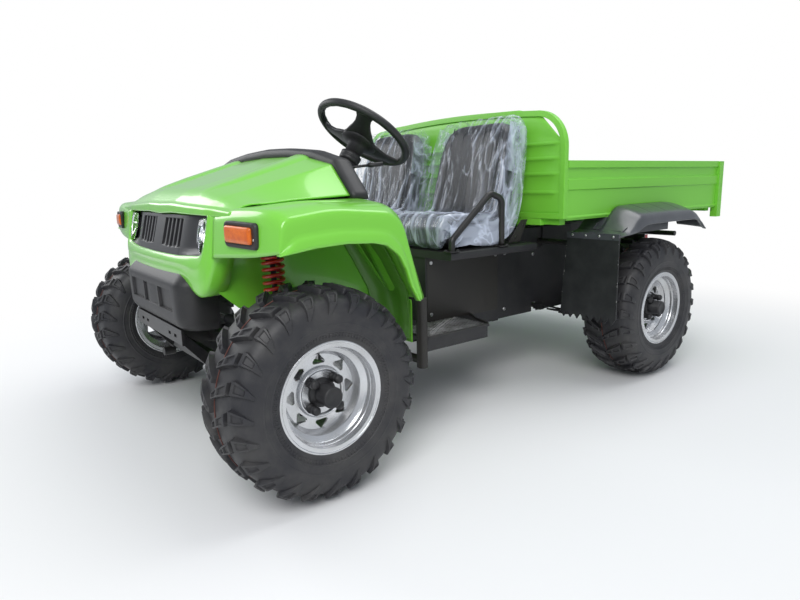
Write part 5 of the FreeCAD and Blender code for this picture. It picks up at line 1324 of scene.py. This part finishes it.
# %% Tailgate
gate_half = bed_x - 34
HINGE_PLACES = (-430, 0, 430)
face = [slab((-gate_half, gate_half), (BED_REAR - 26, BED_REAR - 9), (756, 974))]
face += [slab((-gate_half, gate_half), (BED_REAR - 10, BED_REAR - 2), z) for z in ((756, 790), (940, 974))]
face += [slab((x - 16, x + 16), (BED_REAR - 10, BED_REAR - 3), (788, 942))
         for x in (-gate_half + 16, -215, 215, gate_half - 16)]
barrels = [turned(at(x - 40, 2518.5, 741), (1, 0, 0), [(0, 9.2), (80, 9.2)], 20) for x in HINGE_PLACES]
leaves = [slab((x - 40, x + 40), (2513.5, 2523.5), (741, 758)) for x in HINGE_PLACES]
gate = piece_of("tailgate_folded", joined(face + leaves), "tailgate", lime_paint, smooth=False)
softened(gate, 2, 2)
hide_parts("tailgate")
piece_of("tailgate_hinges", joined(barrels), "tailgate", lime_paint)
print("tailgate faces", len(gate.data.polygons))

# %% [markdown]
# ## Rear fenders
# A flat-topped arch in grained plastic over each rear wheel. Its cross-section rises from the
# bed to a soft crest and falls into the outer wall; three shallow grooves cross the top, and the
# front end lies down into a lip that carries the mud flap with four rivets.

# %% Rear fenders
# Distance behind the axle, height of the top line, height of the wall's lower edge
ARCH_TABLE = [(1366, 675, 667), (1400, 679, 669), (1430, 688, 671), (1456, 706, 673), (1484, 732, 676),
              (1510, 759, 684), (1536, 778, 696), (1566, 785, 706), (1650, 787, 709), (1780, 788, 709),
              (1910, 788, 709), (1990, 785, 708), (2024, 768, 700), (2052, 732, 682), (2074, 690, 664),
              (2086, 664, 652)]
CREST = [(688, 0, 0), (702, -1.5, 0), (722, -6, 0), (745, -13, 0), (770, -22, 0), (790, -30, 0),
         (803, -36, 0), (812, -43, 0), (819, -52, 0.1), (823, -60, 0.3), (826, -66, 0.6), (829, -72, 1.0)]


def fender_arch():
    """Rows along the arch, columns across: the crest's drop is taken from the top line, and the
    last columns blend down to the wall's lower edge and turn in."""
    table = np.array(ARCH_TABLE, float)
    d = np.linspace(table[0, 0], table[-1, 0], 121)
    top, low = (np.interp(d, table[:, 0], table[:, k]) for k in (1, 2))
    kernel = np.ones(7) / 7
    top = np.convolve(np.pad(top, 3, mode="edge"), kernel, "valid")
    low = np.convolve(np.pad(low, 3, mode="edge"), kernel, "valid")
    groove = sum(np.exp(-((d - g) / 3.2) ** 2) for g in (1640, 1765, 1890, 1985)) * 3.0
    rows = []
    tall = np.clip((top - low) / 75, 0.15, 1)
    for x, drop, share in CREST:
        level = (top + drop * tall - groove * (690 < x < 800)) * (1 - share) + (low + 3) * share
        rows.append(at(x, d, level))
    rows.append(at(829, d, low))
    rows.append(at(824, d, low - 1.5))
    rows.append(at(812, d, low + 1))
    return np.array(rows)


arch = fender_arch()
tongue = pushed("x", (576, 692), [(1364, 668), (1364, 676), (1402, 680), (1430, 686), (1446, 697),
                                  (1492, 738), (1496, 734), (1451, 692), (1434, 680), (1402, 674)])
strip = slab((576, 828), (1357, 1368), (654, 680))
rivets = [turned(at(x, 1356, 668), (0, -1, 0), [(-2, 5.5), (1.5, 5.5), (3, 3.5), (3.6, 0.5)], 16)
          for x in (606, 672, 738, 804)]
recess = rounded_line([(655, 1466, 715, 0), (655, 1432, 690, 5), (796, 1432, 684, 5), (796, 1466, 700, 0)],
                      4, 6)
for side in ("left", "right"):
    skin = sheet_of(arch)
    skin = piece_of("rear_fender_" + side, skin if side == "left" else other_side(skin), "chassis",
                    fender_plastic, closed=False)
    thickened(skin, 3.5, inwards=False)
    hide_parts("fender_rear_" + side)
skirt = slab((689, 692), (1545, 1990), (655, 776))
lips = joined([tongue, strip, skirt, round_bar(at(*recess.T), 2.2 * MM, 8)])
piece_of("rear_fender_lips", pair_of(lips), "chassis", fender_plastic, smooth=False)
piece_of("flap_rivets", pair_of(joined(rivets)), "chassis", zinc_steel)
print("rear fender points", arch.shape)

# %% [markdown]
# ## Steering wheel
# A moulded wheel on a dished hub: a thick rim with finger grips, three broad webs that run out
# to the rim, and a two-step shroud below it. Everything is drawn about the column's own axis,
# with the wheel's centre at zero, and then set on the joint's axis.

# %% Steering wheel
wheel_joint = joints["steering_wheel_turn"]
column_axis = np.array(wheel_joint["axis"], float)
column_axis /= np.linalg.norm(column_axis)
column_axis *= np.sign(column_axis[2])
wheel_centre = at(300, 488, 1088)
column_side = np.array((1.0, 0, 0))
column_up = np.cross(column_axis, column_side)


def on_column(across, up, along):
    """Place from two distances in the wheel's plane and one along the column, in millimetres."""
    across, up, along = np.broadcast_arrays(np.asarray(across, float), up, along)
    offset = across[..., None] * column_side + up[..., None] * column_up + along[..., None] * column_axis
    return wheel_centre + MM * offset


turn = np.linspace(0, 2 * np.pi, 120, endpoint=False)
tube = np.linspace(0, 2 * np.pi, 16, endpoint=False)
# Finger grips: shallow waves on the inner side of the rim
grip = 14.2 - 1.3 * (0.5 + 0.5 * np.cos(24 * turn))[:, None] * np.clip(-np.cos(tube), 0, 1)
ring = 174.5 + grip * np.cos(tube)
rim_surface = sheet_of(on_column(ring * np.cos(turn)[:, None], ring * np.sin(turn)[:, None],
                                 grip * np.sin(tube)), close_rows=True, close_columns=True)


def web(angle):
    """Spoke: wide at the hub, narrowing to the rim, with a hollow between thick edges."""
    out = np.array([30.0, 48, 70, 96, 122, 146, 166, 172])
    half = np.array([58.0, 56, 48, 37, 29, 28, 35, 42])
    sink = np.interp(out, [30, 90, 150, 172], [-36, -26, -8, -2])
    across = np.array([-1, -0.96, -0.8, -0.4, 0, 0.4, 0.8, 0.96, 1, 0.9, 0, -0.9])
    level = np.array([-4, 3, 5, 3, 2, 3, 5, 3, -4, -8, -9, -8])
    side, along = half[:, None] * across, sink[:, None] + level
    c, s = math.cos(angle), math.sin(angle)
    return tube_of(on_column(out[:, None] * c - side * s, out[:, None] * s + side * c, along))


hub_profile = [(-92, 30), (-60, 34), (-50, 50), (-44, 66), (-36, 71), (-29, 68), (-25, 54), (-22, 30),
               (-21.5, 0.5)]
hub = turned(wheel_centre, column_axis, hub_profile, 48)
webs = [web(math.radians(angle)) for angle in (84, 204, 324)]
wheel = piece_of("steering_wheel_moulded", joined([rim_surface, hub] + webs), "steering_wheel",
                 black_plastic, closed=False)
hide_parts("steering_wheel")
# The shroud's two steps and the tube below them: profile along the column, points round it
shroud_profiles = [([(-128, 27), (-127, 37), (-112, 39), (-110, 36), (-108, 39), (-96, 40), (-95, 30)], 36),
                   ([(-186, 22), (-184, 29), (-150, 33), (-129, 35), (-128, 24)], 36),
                   ([(-366, 19), (-366, 21.5), (-180, 21.5), (-180, 19)], 28)]
shroud = [turned(wheel_centre, column_axis, profile, count) for profile, count in shroud_profiles]
stalk_root = on_column(20, -6, -156)
stalk = round_bar([stalk_root, stalk_root + (0.025, 0.03, 0.002), stalk_root + (0.05, 0.068, 0.006)],
                  5 * MM, 12)
knob_steps = ((0.048, 0.065, 0.006), (0.056, 0.076, 0.007), (0.082, 0.108, 0.01))
knob = round_bar([stalk_root + step for step in knob_steps], 8 * MM, 14)
column = piece_of("steering_column_shroud", joined(shroud + [stalk, knob]), "chassis", black_plastic,
                  closed=False)
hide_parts("steering_column")
print("wheel faces", len(wheel.data.polygons), "axis", column_axis.round(3))

# %% [markdown]
# ## Front springs
# A red helix round each damper: the angle and the way along the damper grow together, and the
# wire's centre runs on that curve. The last turn at each end lies flat, as a ground end does.

# %% Coil springs
def coil(foot, head, radius, wire, turns_count, count=300):
    """Helix between two places: the way along it lags behind the turn at both ends."""
    foot, head = np.asarray(foot, float), np.asarray(head, float)
    axis = (head - foot) / np.linalg.norm(head - foot)
    side = np.cross(axis, (0, 1.0, 0))
    side /= np.linalg.norm(side)
    up = np.cross(axis, side)
    share = np.linspace(0, 1, count)
    way = np.interp(share * turns_count, [0, 0.8, turns_count - 0.8, turns_count], [0, 0.03, 0.97, 1])
    angle = 2 * np.pi * share * turns_count
    circle = np.cos(angle)[:, None] * side + np.sin(angle)[:, None] * up
    return round_bar(foot + way[:, None] * (head - foot) + radius * circle, wire, 9)


# Ends of the damper, then of the coil: shares of the way from foot to head
damper_foot, damper_head = at(500, 0, 262), at(484, 0, 706)
SPRING_SHARES, SPRING_RADIUS, SPRING_WIRE, SPRING_TURNS = (0.27, 0.965), 31, 5.8, 15.5
damper_way = damper_head - damper_foot
length = np.linalg.norm(damper_way)
damper_axis = damper_way / length
spring_low, spring_high = (damper_foot + damper_way * share for share in SPRING_SHARES)
spring = coil(spring_low, spring_high, SPRING_RADIUS * MM, SPRING_WIRE * MM, SPRING_TURNS)
springs = piece_of("front_coils", pair_of(spring), "chassis", spring_paint, closed=False)
rods = [turned(damper_foot, damper_axis, [(16, 5), (18, 17), (118, 19), (120, 37), (124, 37), (125, 19),
                                          (200, 19), (202, 9), (404, 9), (430, 36), (434, 36), (435, 14),
                                          (440, 14), (441, 5)], 28)]
for end in (damper_foot, damper_head):
    rods.append(turned(end, (0, 1, 0), [(-15, 9), (-15, 17), (15, 17), (15, 9)], 24))
damper = piece_of("front_damper_bodies", pair_of(joined(rods)), "chassis", chassis_paint,
                  closed=False)
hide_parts("front_dampers")
print("coil faces", len(springs.data.polygons))

# %% [markdown]
# ## Mud flaps, step and small parts
# The flaps are cut from fibre-filled rubber, so their cut edges show pale threads. The step is
# a tray of expanded metal in a thin frame: rows of slanted strands cross each other.

# %% Mud flaps
# Outer edge, inner edge at the top and at the foot, height of the foot; teeth and their depth
FLAP_OUTER, FLAP_INNER_TOP, FLAP_INNER_FOOT, FLAP_FOOT = 829, 576, 550, 325
TOOTH_COUNT, TOOTH_DEPTH = 8, 25
tooth = (FLAP_OUTER - FLAP_INNER_FOOT) / TOOTH_COUNT
teeth = [(FLAP_INNER_FOOT + tooth * k * 0.5, FLAP_FOOT - TOOTH_DEPTH * (k % 2))
         for k in range(1, 2 * TOOTH_COUNT)]
flap_line = [(FLAP_INNER_FOOT, FLAP_FOOT)] + teeth
flap_line = np.array(flap_line + [(FLAP_OUTER, FLAP_FOOT), (FLAP_OUTER, 664), (FLAP_INNER_TOP, 668)], float)
flap = piece_of("fibre_flaps", pair_of(pushed("y", (1360, 1365), flap_line)), "chassis", flap_rubber,
                smooth=False)
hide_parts("mud_flaps")
THREAD_RADIUS = 0.7
threads = []
for a, b in (((FLAP_INNER_TOP, 652), (FLAP_INNER_FOOT, FLAP_FOOT)),
             ((FLAP_OUTER, FLAP_FOOT), (FLAP_OUTER, 640))):
    share = np.linspace(0, 1, 90)[:, None]
    chance = np.random.default_rng(5)
    way = np.array(a) * (1 - share) + np.array(b) * share
    # A thread stays inside the flap's own outer edge
    across = np.minimum(way[:, 0] + chance.normal(0, 0.5, 90), FLAP_OUTER - THREAD_RADIUS)
    path = at(across, 1359.6 + chance.uniform(0, 5.5, 90), way[:, 1])
    threads.append(round_bar(path, THREAD_RADIUS * MM, 5))
piece_of("flap_threads", pair_of(joined(threads)), "chassis", pale_thread)
print("flap corners", len(flap_line))


# %% [markdown]
# The step's tray is expanded metal: a sheet slit and pulled apart. Two sets of slanted bars
# that cross give the same mesh of holes, and each bar is clipped to the tray.

# %% Step tray
def strands(x_range, d_range, z, pitch=24.0):
    """Expanded metal: two sets of thin slanted bars that cross, clipped to the tray."""
    (x0, x1), (d0, d1) = x_range, d_range
    bars = []
    for lean in (1, -1):
        for start in np.arange(d0 - (x1 - x0) * 2, d1 + (x1 - x0) * 2, pitch):
            ends = []
            for x in (x0, x1):
                ends.append((x, start + lean * 1.6 * (x - x0)))
            (xa, da), (xb, db) = ends
            low, high = max(min(da, db), d0), min(max(da, db), d1)
            if high - low < 6:
                continue
            cut = [xa + (level - da) / (db - da) * (xb - xa) for level in (low, high)]
            bars.append(round_bar(at(cut, (low, high), (z, z)), 2.2 * MM, 5))
    return joined(bars)


tray = piece_of("step_mesh", pair_of(strands((410, 590), (545, 850), 351.5)), "chassis", worn_steel)
TRAY_TOP = 353
frame_corners = [(408, 536, TRAY_TOP, 0), (594, 536, TRAY_TOP, 12), (594, 854, TRAY_TOP, 16),
                 (500, 882, TRAY_TOP, 16), (408, 930, TRAY_TOP, 0)]
frame_line = rounded_line(frame_corners, 6, 4)
piece_of("step_edge", pair_of(round_bar(at(*frame_line.T), 4.5 * MM, 10)), "chassis", chassis_paint)
posts = [round_bar(at((600, 600), (505, 505), (250, 506)), 20 * MM, 24),
         round_bar(at((400, 608), (505, 505), (276, 276)), 15 * MM, 18)]
step_posts = piece_of("step_posts", pair_of(joined(posts)), "chassis", bracket_brown)
softened(step_posts, 2)
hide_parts("step_tubes")
print("step faces", len(tray.data.polygons))

# %% [markdown]
# Small parts tell the size of the big ones: bolt heads on the covers, a gusset with two holes
# under each seat, drawn as black discs of painted shade, the seat box's side panel, and plain
# black sheets of painted shade that close the dark gap between the seat box and the rear fender.

# %% Bolts, gussets and shields
bolt_places = [(402, 720, 590), (402, 1090, 590), (402, 1150, 590), (402, 1340, 570), (600, 520, 300),
               (600, 520, 470), (402, 1150, 340), (402, 720, 380)]
heads = [turned(at(*place), (1, 0, 0), [(-1, 8), (3, 8), (4.5, 7), (4.5, 0.5)], 12)
         for place in bolt_places]
piece_of("cover_bolts", pair_of(joined(heads)), "chassis", zinc_steel, smooth=False)
gusset = pushed("x", (512, 515), [(1050, 650), (1118, 650), (1168, 742), (1128, 742)])
# Black discs on the gusset stand for its holes: painted shade.
gusset_holes = [turned(at(515, d, z), (1, 0, 0), [(-0.5, 6.5), (0.6, 6.5), (0.6, 0.5)], 18)
                for d, z in ((1092, 672), (1138, 722))]
softened(piece_of("seat_gussets", pair_of(gusset), "chassis", bracket_brown, smooth=False),
         1)
piece_of("gusset_holes", pair_of(joined(gusset_holes)), "chassis", chassis_paint)
# Black sheets in the gaps behind the seat box and under the bed as far as the rear fender: painted shade.
shade_sheets = [slab((398, 401), (1118, 1188), (640, 713)), slab((394, 398), (1184, 1900), (588, 690))]
piece_of("under_bed_shields", pair_of(joined(shade_sheets)), "chassis", chassis_paint,
         smooth=False)
box_panel = slab((402, 404), (700, 1106), (346, 608))
softened(piece_of("seat_box_panel", pair_of(box_panel), "chassis", bracket_brown,
                  smooth=False), 1.5)
print("bolts", len(bolt_places))

# %% [markdown]
# ## Wheel arch liner
# Inside each front fender the green shell turns from the wall beside the wheel into the wall
# before the cab. It is one sheet: a path down the cab wall, carried outwards, whose inner end
# bends forward over a quarter circle.

# %% Liner
# The quarter circle ends at LINER_BEND, and a soft rib stands out at LINER_RIB
LINER_BEND, BEND_RADIUS, LINER_RIB = 491, 64, 535
liner_corners = [(286, 838, 0), (322, 770, 60), (398, 645, 80), (462, 530, 60), (474, 440, 60),
                 (474, 347, 0)]
liner_path = resampled(rounded_line(liner_corners, 8, 8), 40)
liner_x = np.concatenate([[427.0, 427.5, 429, 433, 440, 450, 462, 476, 492], np.linspace(505, 576, 6)])
bend = BEND_RADIUS * (1 - np.sqrt(1 - np.clip((LINER_BEND - liner_x) / BEND_RADIUS, 0, 1) ** 2))
soft_rib = 4 * np.exp(-((liner_x - LINER_RIB) / 9) ** 2)
liner_d = liner_path[:, 0] - bend[:, None] - soft_rib[:, None]
liner_grid = at(liner_x[:, None] + 0 * liner_path[:, 0], liner_d, liner_path[:, 1])
# Its finish is the lime at half brightness, painted shade of the wheel well.
liner = piece_of("wheel_arch_liners", pair_of(sheet_of(liner_grid)), "chassis", lime_liner_painted_shade,
                 closed=False)
thickened(liner, 2)
print("liner points", liner_grid.shape)

# %% [markdown]
# ## Floor, light and camera
# The floor is pale and only keeps the shadow. It shows its own paint near the vehicle and
# fades to plain white farther out, for the camera's rays alone.

# %% Floor
# Half the floor's size in metres, and where it starts and ends to fade for the camera
FLOOR_HALF, FADE_START, FADE_END = 400, 1.3, 3.4
scene = bpy.context.scene
for name in ("Cube", "Light", "Camera"):
    if name in bpy.data.objects:
        bpy.data.objects.remove(bpy.data.objects[name])
floor_mesh = bpy.data.meshes.new("pale_floor")
floor_corners = [(x * FLOOR_HALF, y * FLOOR_HALF, 0) for x, y in ((-1, -1), (1, -1), (1, 1), (-1, 1))]
floor_mesh.from_pydata(floor_corners, [], [(0, 1, 2, 3)])
floor_paint = finish_of("pale_floor_paint", (0.8, 0.8, 0.8), 0.8)
floor_nodes, floor_links = floor_paint.node_tree.nodes, floor_paint.node_tree.links
# Seen by the camera, the floor fades to plain white away from the vehicle's shadow
floor_place, away, floor_rays = (floor_nodes.new("ShaderNode" + kind)
                                 for kind in ("TexCoord", "VectorMath", "LightPath"))
away.operation = "LENGTH"
floor_links.new(floor_place.outputs["Object"], away.inputs[0])
fade = floor_nodes.new("ShaderNodeMapRange")
fade.interpolation_type = "SMOOTHSTEP"
fade.inputs["From Min"].default_value, fade.inputs["From Max"].default_value = FADE_START, FADE_END
floor_links.new(away.outputs["Value"], fade.inputs["Value"])
seen, blank, blend = (floor_nodes.new("ShaderNode" + kind) for kind in ("Math", "Emission", "MixShader"))
seen.operation = "MULTIPLY"
floor_links.new(fade.outputs["Result"], seen.inputs[0])
floor_links.new(floor_rays.outputs["Is Camera Ray"], seen.inputs[1])
floor_links.new(seen.outputs["Value"], blend.inputs["Fac"])
floor_links.new(floor_nodes["Principled BSDF"].outputs["BSDF"], blend.inputs[1])
floor_links.new(blank.outputs["Emission"], blend.inputs[2])
floor_links.new(blend.outputs["Shader"], floor_nodes["Material Output"].inputs["Surface"])
floor_mesh.materials.append(floor_paint)
floor = bpy.data.objects.new("pale_floor", floor_mesh)
scene.collection.objects.link(floor)
print("floor fades in metres from", FADE_START, "to", FADE_END)

# %% [markdown]
# Three round panels light the vehicle. Large ones close to it keep the highlights broad and
# the shadow soft, as under an open sky.

# %% Light panels
# Name, place, where it aims, diameter in metres, power in watts
LIGHT_PANELS = [("key_panel", (3.2, -3.4, 3.8), (0, -0.3, 0.5), 3.0, 150),
                ("side_panel", (-3.6, -2.4, 2.6), (0, 0, 0.5), 2.6, 60),
                ("top_panel", (0.6, 1.2, 4.4), (0, 0, 0.4), 3.6, 90)]
for name, place, aim, size, power in LIGHT_PANELS:
    light = bpy.data.lights.new(name, "AREA")
    light.shape, light.size, light.energy = "DISK", size, power
    lamp = bpy.data.objects.new(name, light)
    lamp.location = place
    lamp.rotation_euler = (Vector(aim) - Vector(place)).to_track_quat("-Z", "Y").to_euler()
    scene.collection.objects.link(lamp)
print("light panels", len(LIGHT_PANELS))

# %% [markdown]
# The world is a pale sky for every light ray. The camera and glass see plain white instead, so
# the background is white however strong the sky is.

# %% World
world = bpy.data.worlds.new("white_studio")
scene.world = world
world.use_nodes = True
nodes, links = world.node_tree.nodes, world.node_tree.links
sky, white = nodes["Background"], nodes.new("ShaderNodeBackground")
sky.inputs["Color"].default_value = (0.86, 0.92, 1.0, 1)
sky.inputs["Strength"].default_value = 0.55
white.inputs["Color"].default_value = (1, 1, 1, 1)
white.inputs["Strength"].default_value = 1.0
rays, either, mix = (nodes.new("ShaderNode" + kind) for kind in ("LightPath", "Math", "MixShader"))
either.operation = "MAXIMUM"
links.new(rays.outputs["Is Camera Ray"], either.inputs[0])
links.new(rays.outputs["Is Transmission Ray"], either.inputs[1])
links.new(either.outputs["Value"], mix.inputs["Fac"])
links.new(sky.outputs["Background"], mix.inputs[1])
links.new(white.outputs["Background"], mix.inputs[2])
links.new(mix.outputs["Shader"], nodes["World Output"].inputs["Surface"])

print("world nodes", len(nodes))

# %% [markdown]
# The camera's place, its turn and its lens come from a fit of measured points of the vehicle to
# where they are in the picture, so the part is seen as the photographer saw it.

# %% Camera
camera_data = bpy.data.cameras.new("viewer")
camera_data.lens, camera_data.sensor_width = 26.92, 36
camera = bpy.data.objects.new("viewer", camera_data)
camera.location = (2.198, -1.9292, 0.906)
# The picture's right and up as directions in the frame
right, up = Vector((0.6140, 0.7890, -0.0242)), Vector((-0.1371, 0.1368, 0.9810))
camera.rotation_euler = Matrix((right, up, right.cross(up))).transposed().to_euler()
scene.collection.objects.link(camera)
scene.camera = camera
scene.view_settings.view_transform = "Standard"
print("camera at", tuple(round(v, 3) for v in camera.location))

# %% [markdown]
# At the end the view layer is brought up to date.

# %% The end
bpy.context.view_layer.update()
